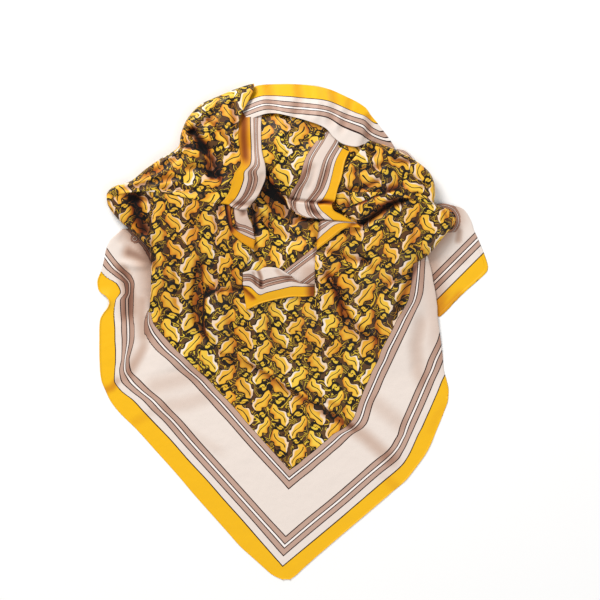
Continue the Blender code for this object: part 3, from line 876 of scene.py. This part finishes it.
def pleatHeight(x, y):
    # from the flat corner's form to a full fold at each lip
    lipShare = np.where(x < 0, rising(y, *spread["leftLipRise"]), rising(y, *spread["rightLipRise"]))
    return spreadHeight(x, y) * (1 - lipShare) + layerHeight(x, y) * lipShare


def borderHeight(x, y):
    # the left border lies on the floor beside the lip, in one long soft wave
    high, acrossWave, alongWave = spread["wave"]
    beside = spread["borderHeight"] + high * bell(x, *acrossWave) * bell(y, *alongWave)
    beside = beside + spread["borderEnd"] * rising(y, *spread["borderEndRise"])
    share = rising(y, *spread["borderRise"])
    return spreadHeight(x, y) * (1 - share) + beside * share


def paintedShadeBesideFolds(x, y):
    # painted soft shade on the border where the heap stands over it, and a little on the pleats
    lip, fold, overlap = edges["leftLip"](y), edges["rightFold"](y), spread["overlap"]
    (lipDark, lipRise), (curlDark, curlAt), (foldDark, foldRise) = spread["borderShades"]
    pleatDark, pleatRise, (pleatMost, pleatOver) = spread["pleatShade"]
    left = (lipDark * rising(y, *lipRise) + curlDark * bell(y, *curlAt)) * (x < lip + overlap)
    left = left * bell(np.maximum(lip - x, 0), 0, spread["lipReach"])
    right = foldDark * rising(y, *foldRise) * (x < fold + overlap) * (y < spread["foldShadeTo"])
    right = right * bell(np.maximum(fold - x, 0), 0, spread["foldReach"])
    pleated = pleatDark * rising(y, *pleatRise) * smooth((pleatMost - x) / pleatOver) * (x > lip + overlap)
    return np.maximum(np.maximum(left, right), pleated)


# In a curl of the border, the inner stripes show from this distance on, at this pace.
curledLines = {"from": 109, "pace": 2.8}


def curlLines(x, y, distance, curl):
    middleX, middleY, radius = curl
    out = np.hypot(x - middleX, y - middleY)
    return np.where(out < radius, curledLines["from"] + curledLines["pace"] * (radius - out), distance)


def rowColumns(breaks, counts):
    # x of every column of a row: fixed counts between the breaks, and one close to each break
    columns = [breaks[0]]
    for a, b, count in zip(breaks, breaks[1:], counts):
        narrow = min(spread["narrow"], spread["narrowShare"] * (b - a))
        columns += [a + narrow] + list(np.linspace(a + narrow, b - narrow, count)[1:-1]) + [b - narrow, b]
    return columns


def blockGrid(low, high, sides, stretches, printed):
    # rows from low to high between sides that are functions of y; printed says how the border shows on it
    rows = np.linspace(low, high, max(2, int(round((high - low) / spread["pitch"])) + 1))
    counts = [spread["columns"][stretch] for stretch in stretches]
    x = np.array([rowColumns([float(side(y)) for side in sides], counts) for y in rows])
    y = np.repeat(rows[:, None], x.shape[1], axis=1)
    far = np.full_like(x, farFromHem)
    grid = {"x": x, "y": y, "dark": paintedShadeBesideFolds(x, y), "p": far, "q": far}
    if printed != "field":
        grid["p"] = bandDistance(x, y, spread["leftBands"], 1)
        grid["q"] = bandDistance(x, y, spread["rightBands"], -1)
    if printed == "rightBorder":
        # the pleats hide the left border's inner lines from here on
        grid["p"] = np.where((y > spread["leftBandsTo"]) & (x < 0), farFromHem, grid["p"])
    if printed == "curled":
        grid["p"] = curlLines(x, y, grid["p"], spread["borderCurl"])
    return grid


def lowSides():
    # below the pleats the inner edges fan out evenly from where they are at the pleats' foot
    foot, left, right = spread["leftLipFrom"], edges["hem"], edges["rightFold"]
    shares = [(edges[name](foot) - left(foot)) / (right(foot) - left(foot))
              for name in ("leftLip", "hollowLeft", "hollowRight", "rightSeam")]
    between = [lambda y, share=share: left(y) + (right(y) - left(y)) * share for share in shares]
    return [left] + between + [right]




def leftLipDrop(x, y):
    # how deep the left lip hangs, down to the border
    return np.maximum(spread["lipLeast"], pleatHeight(x, y) - growing(*spread["lipGap"])(y))


def rightLipDrop(x, y):
    under = np.maximum(spreadHeight(x, y), spread["rightLipFloor"])
    return np.maximum(spread["lipLeast"], pleatHeight(x, y) - spread["rightLipGap"] - under)


def addSpreadCloth():
    rims = {"hem": "hem", **spread["folds"]}
    rims["rightFold"] = (growing(*spread["foldGrows"]), growing(*spread["foldDeepens"]))
    rims["leftLip"] = (growing(*spread["lipGrows"]), leftLipDrop)
    rims["rightLip"] = (growing(*spread["rightLipGrows"]), rightLipDrop)
    foot, hollow, lip = spread["leftLipFrom"], spread["hollowFrom"], spread["rightLipFrom"]
    pleated = "leftPleats hollow rightPleats rightEdge"
    whole = "border " + pleated
    upper = "leftLip hollowLeft hollowRight rightSeam rightFold"
    blocks = [
        # low, high, sides from left to right, stretches, finished sides, height, how the border shows
        (-372, -97, "", whole, "left hem right hem start hem", spreadHeight, "both"),
        (-97, foot, "", whole, "left hem right rightFold", spreadHeight, "both"),
        (foot, hollow, upper, pleated, "left leftLip right rightFold", pleatHeight, "rightBorder"),
        (hollow, 212, "leftLip hollowLeft", "leftPleats", "left leftLip right hollow", pleatHeight, "field"),
        (hollow, lip, "hollowRight rightSeam rightFold", "rightPleats rightEdge",
         "left hollow right rightFold", pleatHeight, "both"),
        (lip, 208, "hollowRight rightLip", "rightPleats", "left hollow right rightLip", pleatHeight, "field"),
        (lip, 122, "underRightLip rightFold", "rightEdge", "right rightFold", spreadHeight, "both"),
        (foot, 84, "hem underLip", "border", "left hem", borderHeight, "curled"),
        (84, 154, "hem underLip", "border", "left wave", borderHeight, "curled"),
    ]
    grids = []
    for low, high, sides, stretches, finished, height, printed in blocks:
        sides = [edges[name] for name in sides.split()] or lowSides()
        grid = blockGrid(low, high, sides, stretches.split(), printed)
        words = finished.split()
        grid = addRims(grid, {side: rims[name] for side, name in zip(words[::2], words[1::2])})
        grids.append(finishGrid(grid, height, spread))
    clothPiece("spreadCloth", spread, grids)


addSpreadCloth()


# A net's rows hold x and y of each point, and how far it is lifted from the net's layer where that isn't 0.
leftHemFold = {
    # the left hem turned over onto the pleats; its upper end runs in under the shoulder and the back border
    "nodes": ("left_hem_fold",), "slot": "amber_hem", "held": "folded",
    "restsOn": ["spreadCloth", "innerFold"], "flat": (0.052, 0.18), "layer": 2.1, "pitch": 2.4, "shade": 0.14,
    "rims": {"left": "hem", "right": (5, 3), "end": (4, 3), "start": (4, 3)},
    "stations": [13, 27, 37, 59, 79],
    "rows": [
        # edge, trim line, stripes, blush, inner side
        [(-70, 348, -21), (-58, 349, -21), (-53, 350, -21), (-46, 350, -21), (-40, 350, -21)],
        [(-79, 328, -15), (-62, 327, -15), (-57, 326, -15), (-50, 325, -15), (-45, 324, -14)],
        [(-80, 304, -9), (-62, 303, -9), (-57, 302, -8), (-51, 301, -8), (-46, 300, -7)],
        [(-80, 272, -8), (-61, 272, -8), (-56, 271, -7), (-50, 271, -6), (-45, 270, -5)],
        [(-76, 251, -2), (-62, 250, -1), (-56, 250, -1), (-48, 249, -1), (-40, 249, -1)],
        [(-84, 238), (-71, 238), (-65, 238), (-53, 238), (-39, 237)],
        [(-88, 227), (-72, 227), (-65, 227), (-51, 227), (-40, 227)],
        [(-92, 212), (-77, 212), (-69, 212), (-55, 212), (-46, 212)],
        [(-99, 199), (-84, 199), (-76, 199), (-63, 199), (-53, 199)],
        [(-106, 191), (-94, 189), (-90, 186), (-80, 182), (-69, 182)],
    ],
    "troughs": [  # half width, depth, shade, path
        (12, 2, 0.55, (-72, 350), (-72, 290), (-70, 262), (-64, 240)),
        (6, 2, 0.3, (-96, 196), (-80, 190), (-64, 190), (-50, 196)),
        (8, 2, 0.1, (-44, 240), (-46, 220), (-56, 204)),
        (8, 1, 0.36, (-59, 250), (-59, 238), (-58, 227), (-62, 212), (-70, 199), (-86, 184)),
    ],
}
leftHemCurl = {
    # the same hem where it curls back under, into the hollow
    "nodes": ("left_hem_curl",), "slot": "blush_border", "held": "folded",
    "restsOn": ["spreadCloth", "innerFold"], "flat": (0.042, 0.064), "layer": 1, "pitch": 2, "shade": 0.26,
    "rims": {"left": "hem", "right": (2.5, 2.5), "end": (3, 3)},
    "stations": [
        [0, 26, 59, 75, 95], [0, 26, 58, 75, 95], [0, 26, 45, 62, 90],
        [0, 27, 37, 59, 85], [0, 27, 37, 59, 80],
    ],
    "rows": [
        # hem, trim line, stripes, blush, inner side; the stripes are squeezed into the fold at its upper end
        [(-101, 192), (-91, 190), (-88, 188), (-81, 186), (-69, 190)],
        [(-98, 170), (-89, 171), (-86, 172), (-81, 174), (-67, 182)],
        [(-92, 150), (-85, 154), (-83, 156), (-78, 162), (-66, 174)],
        [(-77, 135), (-73, 145), (-72, 149), (-69, 158), (-64, 168)],
        [(-57, 122), (-55, 137), (-56, 142), (-58, 153), (-61, 163)],
    ],
    "troughs": [  # half width, depth, shade, path
        (8, 2, 0.75, (-102, 204), (-98, 178), (-95, 160), (-86, 142)),
        (5, 3, 0.85, (-90, 204), (-89, 176), (-86, 158), (-76, 148)),
        (9, 1.5, 0.35, (-76, 198), (-74, 182), (-70, 170)),
    ],
}
rightHemFold = {
    # the right hem turned over, with a crease across its stripes; its upper end runs in under the back border
    "nodes": ("right_hem_fold",), "slot": "taupe_stripe", "held": "folded",
    "restsOn": ["innerFold", "rightShoulder"], "flat": (0.108, 0.15), "layer": 2.1, "pitch": 2, "shade": 0.1,
    "rims": {"left": (4, 3), "right": "hem", "end": (4, 4), "start": (6, 5)},
    "stations": [160, 130, 109, 59, 37, 27, 0],
    "rows": [
        # field, last stripe, pair, blush, stripes, trim line, hem
        [(30, 312, -19), (52, 311, -19), (62, 310, -19), (74, 308, -19), (84, 306, -19), (88, 305, -19),
         (98, 303, -19)],
        [(8, 284, -9), (36, 284, -9), (48, 284, -9), (63, 283, -10), (75, 282, -13), (80, 282, -14),
         (92, 281, -17)],
        [(-14, 258, -3), (20, 258, -3), (32, 257, -3), (48, 257, -3), (61, 256, -4), (66, 256, -4),
         (80, 256, -6)],
        [(-34, 230), (12, 230), (25, 230), (40, 230), (54, 230), (59, 230), (74, 230)],
        [(-21, 212), (2, 212), (16, 212), (34, 212), (47, 212), (54, 212), (68, 212)],
        [(-10, 198), (-6, 197), (11, 197), (22, 196), (36, 196), (45, 196), (64, 195)],
        [(-8, 193), (-5, 193), (6, 193), (19, 193), (33, 192), (38, 192), (60, 191)],
        [(-3, 182), (1, 182), (7, 182), (21, 182), (37, 182), (43, 182), (62, 181)],
        [(7, 175), (10, 175), (14, 175), (25, 174), (42, 174), (52, 174), (76, 173)],
        [(20, 170), (22, 170), (25, 170), (32, 169), (49, 167), (62, 166), (92, 163)],
    ],
    "troughs": [  # half width, depth, shade, path
        (4, 4, 0.3, (-22, 204), (8, 196), (40, 192), (64, 193)),
        (6, 3, 0.6, (34, 192), (48, 194), (68, 190), (76, 186)),
        (8, 3, 0.6, (-44, 236), (-24, 214), (-14, 200)),
        (6, 2, 0.06, (36, 252), (30, 226), (20, 206)),
        (8, 1, 0.36, (34, 258), (18, 232), (9, 212), (2, 198), (2, 186), (10, 174)),
        (8, 1, 0.36, (56, 258), (47, 230), (40, 212), (29, 197), (28, 184), (42, 166)),
        (7, 2.5, 0.25, (20, 190), (30, 180), (46, 172)),
    ],
}
rightHemCurl = {
    # the right hem where it shows again below its turned part
    "nodes": ("right_hem_curl",), "slot": "amber_hem", "held": "folded", "restsOn": ["spreadCloth"],
    "flat": (0.045, 0.052), "area": 0.0018, "layer": 1, "pitch": 2, "shade": 0.14,
    "rims": {"left": "hem", "start": (3, 2.5)},
    "stations": [0, 27, 37, 59],
    "rows": [
        # hem, trim line, stripes, blush
        [(37, 122), (37, 136), (39, 148), (40, 162)],
        [(57, 137), (50, 148), (48, 155), (45, 166)],
        [(80, 154), (69, 161), (63, 164), (60, 168)],
        [(103, 155), (97, 161), (92, 164), (88, 167)],
    ],
    "troughs": [  # half width, depth, shade, path
        (6, 2, 0.5, (34, 128), (38, 150), (42, 168)),
        (7, 1, 0.6, (32, 168), (60, 170), (94, 167)),
        (6, 1.5, 0.4, (80, 150), (90, 160), (104, 164)),
    ],
}
centreHem = {
    # the hem across the lower side of the hollow
    "nodes": ("centre_hem",), "slot": "amber_hem", "held": "folded", "restsOn": ["spreadCloth", "innerFold"],
    "flat": (0.112, 0.052), "area": 0.0056, "layer": 1, "pitch": 2, "shade": 0.1,
    "rims": {"left": "hem", "start": (3, 3), "right": (3, 2)},
    "stations": [
        [0, 27, 37, 59, 66], [0, 27, 37, 59, 66], [0, 27, 37, 59, 75], [0, 27, 37, 59, 78],
        [0, 27, 37, 59, 80], [0, 27, 37, 59, 72], [0, 27, 30, 35, 40], [0, 27, 29, 32, 35],
    ],
    "rows": [
        # hem, trim line, stripes, blush, inner side
        [(-68, 32), (-73, 68), (-73, 75), (-73, 85), (-73, 88)],
        [(-60, 36), (-62, 66), (-62, 75), (-61, 85), (-60, 92)],
        [(-49, 41), (-49, 55), (-47, 64), (-45, 76), (-50, 91)],
        [(-39, 44), (-38, 58), (-37, 67), (-37, 78), (-40, 96)],
        [(-18, 49), (-18, 63), (-18, 72), (-18, 82), (-22, 95)],
        [(0, 52), (0, 67), (-1, 75), (-3, 83), (-9, 88)],
        [(16, 52), (16, 67), (16, 69), (15, 71), (14, 73)],
        [(33, 53), (33, 67), (33, 68), (33, 69), (33, 70)],
    ],
    "troughs": [  # half width, depth, shade, path
        (5, 2.5, 0.5, (-52, 96), (-46, 80), (-47, 62)),
        (4, 1.5, 0.25, (-58, 92), (-56, 80), (-52, 66)),
        (15, 2, 0.6, (32, 36), (31, 60), (32, 84)),
        (6, 2, 0.2, (-26, 96), (-16, 84), (2, 76)),
        (6, 1, 0.32, (-84, 80), (-61, 80), (-46, 70), (-37, 73), (-18, 77), (-2, 79), (24, 70)),
    ],
    "ledges": [  # width, height, slip, shade, path
        (4, 3, 0, 0.55, (-80, 72), (-70, 64), (-60, 55), (-52, 46)),
    ],
}
innerFold = {
    # the layer inside the hollow, with the printed border running across its lower right
    "nodes": ("inner_fold",), "slot": "gold_print", "held": "folded", "restsOn": ["foldedLayers"],
    "flat": (0.15, 0.272), "layer": -1, "pitch": 2.4, "rims": {},
    "rows": [  # from left to right
        [(-66, 342, -16), (-14, 344, -18), (32, 338, -16), (86, 322, -20), (106, 306, -18)],
        [(-60, 322, -8), (-14, 320, -4), (26, 316, -4), (66, 304, -6), (98, 294, -14)],
        [(-60, 300, -2), (-16, 300), (30, 298), (70, 288, -3), (104, 276, -10)],
        [(-58, 266), (-14, 266), (34, 266), (70, 262), (104, 256, -3)],
        [(-66, 225), (-30, 225), (14, 225), (56, 225), (86, 225)],
        [(-80, 187), (-45, 187), (-10, 187), (22, 187), (50, 187)],
        [(-78, 160), (-40, 160), (0, 160), (28, 160), (50, 160)],
        [(-73, 137), (-34, 137), (6, 137), (30, 137), (48, 137)],
        [(-82, 110), (-40, 110), (4, 110), (28, 110), (50, 110)],
        [(-82, 86), (-40, 86), (4, 86), (28, 86), (48, 86)],
        [(-78, 70), (-40, 70), (4, 70), (26, 70), (44, 70)],
    ],
    "troughs": [  # half width, depth, shade, path
        (18, 8, 1, (-46, 246), (-42, 224), (-33, 205), (-17, 189), (8, 176)),
        (14, 0, 0.6, (-40, 252), (-34, 222), (-18, 202), (2, 194)),
        (10, 3, 1, (-54, 200), (-57, 178), (-55, 158), (-51, 138)),
        (7, 3, 0.35, (-62, 196), (-44, 170), (-30, 150)),
        (12, 3, 0.35, (-52, 176), (-26, 154), (0, 142), (26, 142)),
        (6, 2.5, 0.5, (-62, 150), (-52, 122), (-44, 96)),
        (8, 2, 0.75, (-14, 182), (6, 172), (28, 168), (54, 170)),
        (16, 0, 0.22, (-6, 84), (16, 100), (40, 118)),
        (6, 2.5, 0.4, (26, 170), (38, 140), (34, 100)),
        (16, 3, 0.3, (-20, 312), (30, 306), (80, 290)),
    ],
    "ledges": [  # width, height, slip, shade, path
        (6, 7, 0, 0.8, (-58, 228), (-40, 204), (-16, 184), (10, 176), (34, 174)),
    ],
    # where the lines of the printed border lie, counted along its slant, and the band that each one starts
    "slant": (0.604, -0.797),
    "slantLines": [(-79.6, 130), (-69.3, 109), (-51.1, 59), (-42.4, 37), (-30.9, 20)],
    # soft shade beside the right pleats and behind the centre hem: darkness, rise in x and in y, end in y
    "sideShades": [(0.7, (26, 20), (90, 30), (170, 40)), (0.34, (-6, 34), (0, 1), (112, 20))],
}


def addInnerFold():
    grid = netGrid(innerFold)
    x, y = grid["x"], grid["y"]
    alongX, alongY = innerFold["slant"]
    grid["q"] = readOff(innerFold["slantLines"], alongX * x + alongY * y)
    grid["dark"] = 0 * x
    for dark, riseX, riseY, (last, over) in innerFold["sideShades"]:
        shade = dark * rising(x, *riseX) * rising(y, *riseY) * smooth((last - y) / over)
        grid["dark"] = np.maximum(grid["dark"], shade)
    clothPiece("innerFold", innerFold, [finishGrid(grid, onLayer(innerFold), innerFold)])


layNet("leftHemFold", leftHemFold)
layNet("leftHemCurl", leftHemCurl)
addInnerFold()
layNet("rightHemFold", rightHemFold)
layNet("rightHemCurl", rightHemCurl)
layNet("centreHem", centreHem)


rightCorner = {
    "nodes": ("right_corner",), "slot": "blush_border", "held": "laid", "restsOn": ["paleFloor"],
    "flat": (0.11, 0.17), "area": 0.0135, "pitch": 2.6,
    "rims": {"right": (3.5, 1.5), "start": (6, 4)},
    "rows": [
        # inner side, middle, outer edge, each with its height
        [(212, 190, 9), (224, 192, 8), (232, 191, 5)],
        [(210, 181, 9), (236, 184, 7), (256, 184, 3)],
        [(204, 167, 7), (240, 168, 5.5), (268, 167, 2.2)],
        [(198, 152, 4), (240, 152, 4.2), (273, 152, 1.6)],
        [(192, 137, 2.2), (240, 137, 2.6), (280, 137, 1.3)],
        [(192, 120, 1), (240, 120, 1), (286, 122, 0.6)],
        [(192, 108, 1), (240, 109, 1), (291, 109, 0.6)],
        [(192, 98, 1), (240, 98, 1), (294, 98, 0.6)],
        [(192, 92, 1), (240, 91, 1), (293, 91, 0.6)],
        [(192, 88, 1), (240, 87, 1), (289, 86, 0.6)],
        [(192, 74, 1), (236, 75, 1), (275, 73, 0.6)],
        [(198, 58, 1), (230, 61, 1), (258, 58, 0.6)],
        [(200, 44, 1), (226, 46, 1), (244, 44, 0.6)],
        [(201, 31, 1), (218, 32, 1), (230, 29, 0.6)],
        [(203, 22, 1), (212, 23, 1), (222, 22, 0.6)],
    ],
    "troughs": [  # half width, depth, shade, path
        (10, 2.2, 0.34, (240, 168), (250, 150), (248, 128)),
        (14, 1.5, 0.24, (216, 18), (236, 40), (262, 62)),
        (12, 1.5, 0.1, (214, 118), (240, 104), (270, 110)),
    ],
    # where the printed lines lie, counted along x - y, and the band that each one starts
    "slantLines": [(60, 109), (127, 59), (136.4, 51.3), (144.3, 45.2), (154.2, 37), (170, 27), (200, 0)],
    # the inner stripes show only where the corner curls under the pleats' lip: the curl's middle and radius
    "lastLine": 108.5, "curl": (228, 167, 25.5), "curlFrom": 148,
    # how far the heap covers the corner, as y and x, and the shade beside it: darkness and reach
    "cover": [(20, 222), (60, 218), (90, 212), (110, 208)] + spread["rightLip"][4:9] + [(190, 240)],
    "coverShade": (0.34, 16),
}


def addRightCorner():
    grid = netGrid(rightCorner)
    x, y = grid["x"], grid["y"]
    lines = np.minimum(readOff(rightCorner["slantLines"], x - y), rightCorner["lastLine"])
    grid["q"] = np.where(y > rightCorner["curlFrom"], curlLines(x, y, lines, rightCorner["curl"]), lines)
    dark, reach = rightCorner["coverShade"]
    grid["dark"] = dark * bell(np.maximum(x - readOff(rightCorner["cover"], y), 0), 0, reach)
    clothPiece("rightCorner", rightCorner, [finishGrid(grid, lambda x, y: 0 * x, rightCorner)])


addRightCorner()


leftShoulder = {
    "nodes": ("left_shoulder",), "slot": "gold_print", "held": "folded",
    "restsOn": ["spreadCloth", "foldedLayers"], "flat": (0.14, 0.34), "area": 0.032,
    "layer": 0.7, "pitch": 2.8,
    "rims": {"left": (growing(2, 12, (204, 24)), hanging(3)), "right": (7, 3.2), "end": (5, 5)},
    "rows": [
        # outline, lip or hollow side
        [(-277, 197), (-270, 198)],
        [(-277, 206), (-262, 203)],
        [(-271, 214), (-248, 207)],
        [(-261, 219), (-234, 208)],
        [(-250, 222), (-217, 209)],
        [(-238, 227), (-198, 207)],
        [(-219, 243), (-169, 202)],
        [(-196, 259), (-138, 195)],
        [(-171, 275), (-106, 191)],
        [(-166, 296), (-84, 197)],
        [(-156, 319), (-74, 222)],
        [(-136, 340), (-76, 257)],
        [(-108, 353), (-80, 292)],
        [(-84, 363), (-76, 322)],
        [(-66, 369), (-64, 346)],
        [(-57, 371), (-57, 362)],
    ],
    "troughs": [  # half width, depth, shade, path
        (11, 9, 1, (-156, 306), (-144, 294), (-134, 280), (-126, 262)),
        (10, 5, 0.8, (-132, 262), (-122, 244), (-118, 222)),
        (9, 2.5, 0.35, (-204, 212), (-172, 214), (-136, 207)),
        (8, 4, 0.45, (-262, 212), (-226, 218), (-190, 228), (-160, 232)),
        (8, 4, 0.4, (-236, 224), (-200, 242), (-170, 262), (-146, 266)),
        (8, 4.5, 0.5, (-166, 240), (-140, 246), (-116, 232), (-100, 222)),
        (8, 4, 0.45, (-164, 292), (-140, 306), (-120, 322), (-106, 344)),
        (8, 3.5, 0.45, (-90, 354), (-86, 320), (-84, 284)),
    ],
    "ledges": [  # width, height, slip, shade, path
        (6, 9, 8, 0.85, (-104, 214), (-108, 228), (-120, 257), (-138, 272), (-176, 276)),
        (5, 4, 3, 0.5, (-84, 258), (-96, 284), (-114, 306), (-134, 322)),
    ],
    # the cloth turns a corner here, and its print turns with it, round this middle
    "bend": (-200, 330, 115),
}
rightShoulder = {
    # with the rope-like fold across it
    "nodes": ("right_shoulder",), "slot": "gold_print", "held": "folded",
    "restsOn": ["spreadCloth", "foldedLayers"], "flat": (0.16, 0.15), "area": 0.02,
    "layer": 0.9, "pitch": 2.8, "turn": -0.45,
    "rims": {"left": (7, 3.2), "end": (8, 8), "start": (5, 3), "right": (9, hanging(7, 3, (100, 60)))},
    "rows": [
        # lower edge, upper edge
        [(66, 187), (66, 238)],
        [(79, 176), (84, 250)],
        [(96, 167), (100, 268)],
        [(111, 170), (114, 284)],
        [(126, 182), (131, 281)],
        [(144, 193), (156, 272)],
        [(159, 199), (181, 258)],
        [(174, 199), (201, 243)],
        [(189, 196), (211, 228)],
        [(202, 191), (214, 209)],
        [(208, 188), (212, 193)],
    ],
    "troughs": [  # half width, depth, shade, path
        (6, 4.5, 0.6, (66, 208), (80, 212), (100, 212), (118, 220), (138, 230)),
        (7, 4.5, 0.6, (144, 262), (156, 256), (170, 254), (184, 256)),
        (8, 4, 0.45, (84, 236), (108, 244), (130, 246), (146, 256)),
        (7, 3.5, 0.35, (170, 240), (188, 224), (206, 212)),
        (6, 3.5, 0.5, (176, 206), (190, 204), (206, 198)),
        (7, 1.5, 0.7, (92, 166), (112, 172), (128, 184), (146, 195), (168, 202)),
        (9, 4, 0.5, (112, 280), (118, 268), (128, 262)),
    ],
    "ledges": [  # width, height, slip, shade, path
        (6, 9, 6, 0.95, (178, 216), (162, 214), (140, 208), (120, 200), (102, 192), (87, 186), (66, 178)),
    ],
}
backBorder = {
    # the loop of border at the back, and the small curl where it goes under the right shoulder
    "nodes": ("back_border",), "slot": "amber_hem", "held": "folded", "restsOn": ["foldedLayers"],
    "flat": (0.066, 0.32), "area": 0.017, "pitch": 2.6, "rims": {"left": (3.5, 1.8)},
    "stations": [[0, 27, 37, 59, 66]] * 8 + [
        [11, 27, 37, 59, 66], [25, 31, 37, 59, 66], [37, 40, 46, 59, 66],
        [48, 50, 53, 59, 64], [56, 57, 58, 59, 62],
    ],
    "rows": [
        # outer edge, trim line, stripes, blush, inner side, each with its height
        [(-86, 350, 2.4), (-80, 338, 13), (-77, 333, 17), (-70, 322, 23), (-66, 316, 24)],
        [(-54, 368, 2.6), (-47, 352, 18), (-44, 346, 23), (-37, 332, 29), (-34, 326, 30)],
        [(-18, 371, 2.6), (-13, 352, 20), (-11, 344, 25), (-7, 327, 31), (-6, 322, 31.5)],
        [(20, 370, 2.6), (22, 349, 20), (22, 341, 25), (24, 324, 31), (24, 314, 31.5)],
        [(54, 364, 2.6), (54, 345, 20), (54, 336, 25), (53, 320, 31), (49, 304, 31.5)],
        [(82, 352, 2.6), (79, 335, 15), (77, 327, 20), (72, 309, 28), (62, 290, 31)],
        [(98, 344, 2.6), (95, 328, 12), (94, 321, 16), (88, 302, 24), (76, 280, 30)],
        [(111, 335, 2.6), (109, 323, 9), (108, 317, 12), (103, 296, 20), (96, 276, 27)],
        [(118, 325, 2.6), (116, 318, 8), (115, 311, 10), (110, 291, 15), (108, 280, 20)],
        [(127, 314, 2.4), (124, 309, 5), (122, 305, 7), (118, 286, 11), (116, 277, 14)],
        [(137, 301, 2.2), (134, 297, 4), (131, 293, 5), (127, 281, 7), (125, 272, 9)],
        [(146, 289, 2), (143, 286, 3), (140, 283, 4), (136, 276, 5), (134, 269, 6)],
        [(154, 276, 1.8), (152, 274, 2.5), (150, 272, 3), (147, 270, 3.5), (145, 265, 4)],
    ],
    "troughs": [  # half width, depth, shade, path
        (10, 2.5, 0.3, (112, 330), (116, 308), (112, 284)),
        (13, 4, 0.14, (58, 380), (64, 345), (56, 300)),
        (11, -3, 0, (34, 380), (40, 345), (34, 306)),
        (12, 4, 0.16, (6, 384), (12, 350), (2, 312)),
        (14, 5, 0.16, (-40, 382), (-32, 350), (-28, 316)),
        (10, 3, 0.12, (92, 362), (84, 330), (70, 290)),
    ],
}
backCurl = {
    "pitch": 2, "stations": [31, 45, 60], "rims": {"left": (3, 1.6), "end": (2, 1.5)},
    "rows": [
        # outer edge, middle, inner side, each with its height
        [(156, 275, 4), (158, 271, 6), (160, 267, 7)],
        [(168, 273, 4), (168, 268, 6), (167, 262, 7)],
        [(178, 266, 4), (175, 261, 6), (172, 256, 7)],
        [(184, 258, 4), (180, 254, 6), (176, 250, 7)],
        [(186, 250, 4), (183, 248, 6), (180, 245, 7)],
    ],
}


def addLeftShoulder():
    grid = finishGrid(netGrid(leftShoulder), onLayer(leftShoulder), leftShoulder)
    middleX, middleY, radius = leftShoulder["bend"]
    outX, outY = grid["x"] + grid["slideX"] - middleX, grid["y"] + grid["slideY"] - middleY
    grid["u"] = radius - np.hypot(outX, outY)
    grid["v"] = radius * np.arctan2(outX, -outY)
    clothPiece("leftShoulder", leftShoulder, [grid])


def addBackBorder():
    grids = [finishGrid(netGrid(net), lambda x, y: 0 * x, backBorder) for net in (backBorder, backCurl)]
    clothPiece("backBorder", backBorder, grids)


addLeftShoulder()
layNet("rightShoulder", rightShoulder)
addBackBorder()


foldedLayers = {
    # one solid with its layers showing at the edge
    "nodes": ("hidden_layers",), "slot": "taupe_stripe", "held": "folded", "restsOn": ["paleFloor"],
    "flat": (0.35, 0.33),
    "outline": [  # x and y, all round
        (155, 60), (168, 120), (172, 180), (165, 215), (125, 245), (85, 288), (50, 318), (0, 330), (-75, 322),
        (-118, 300), (-132, 262), (-178, 230), (-222, 205), (-205, 168), (-185, 120), (-180, 60), (-150, 14),
        (-80, -4), (20, -8), (110, 14),
    ],
    "middle": (-20, 160), "spokes": 160, "folds": 5, "layer": -2.5, "shade": 0.5,
    "under": 0.5, "least": 4, "rounding": 1.2,
    # how far out the folds run, as a share of the outline, and how it varies: size, times round, shift
    "run": 0.955, "runWaves": [(0.022, 3, 1.7), (0.014, 7, 2.9)],
    # one fold's edge: how far in from its run, and how high in its share of the height
    "foldEdge": [(0.022, 0.04), (0.006, 0.2), (0, 0.5), (0.006, 0.8), (0.022, 0.96)],
    "topRings": [0.9, 0.8, 0.66, 0.5, 0.34, 0.18, 0],
}


def addFoldedLayers():
    corners, folds, spokes = foldedLayers["outline"], foldedLayers["folds"], foldedLayers["spokes"]
    middleX, middleY = foldedLayers["middle"]
    ring = curveThrough(corners + corners[:3], np.linspace(1, len(corners) + 1, spokes + 1))
    ring[-1] = ring[0]
    outX, outY = ring[:, 0] - middleX, ring[:, 1] - middleY
    around = np.linspace(0, 2 * math.pi, spokes + 1)

    def top(share):
        high = layerHeight(middleX + outX * share, middleY + outY * share, foldedLayers["layer"])
        return np.maximum(foldedLayers["least"], high)

    under = 0 * around + foldedLayers["under"]
    rings = [(0 * around, under), (0 * around + foldedLayers["topRings"][0], under)]
    for fold in range(folds):
        # every fold runs in and out on its own along the edge
        run = foldedLayers["run"] + sum(
            size * np.sin(turns * around + shift * fold) for size, turns, shift in foldedLayers["runWaves"])
        for inward, rise in foldedLayers["foldEdge"]:
            high = (top(run) - foldedLayers["rounding"]) * (fold + rise) / folds
            rings.append((run - inward, under + high))
    rings += [(0 * around + share, top(share)) for share in foldedLayers["topRings"]]
    x = np.array([middleX + outX * share for share, _ in rings])
    y = np.array([middleY + outY * share for share, _ in rings])
    z = np.array([height for _, height in rings])
    far = np.full_like(x, farFromHem)
    grid = {"x": x, "y": y, "z": z, "p": far, "q": far, "u": x, "v": y + z}
    grid["shade"] = 0 * x + foldedLayers["shade"]
    clothPiece("foldedLayers", foldedLayers, [grid], closed=True)


addFoldedLayers()

print("stage: all cloth laid")
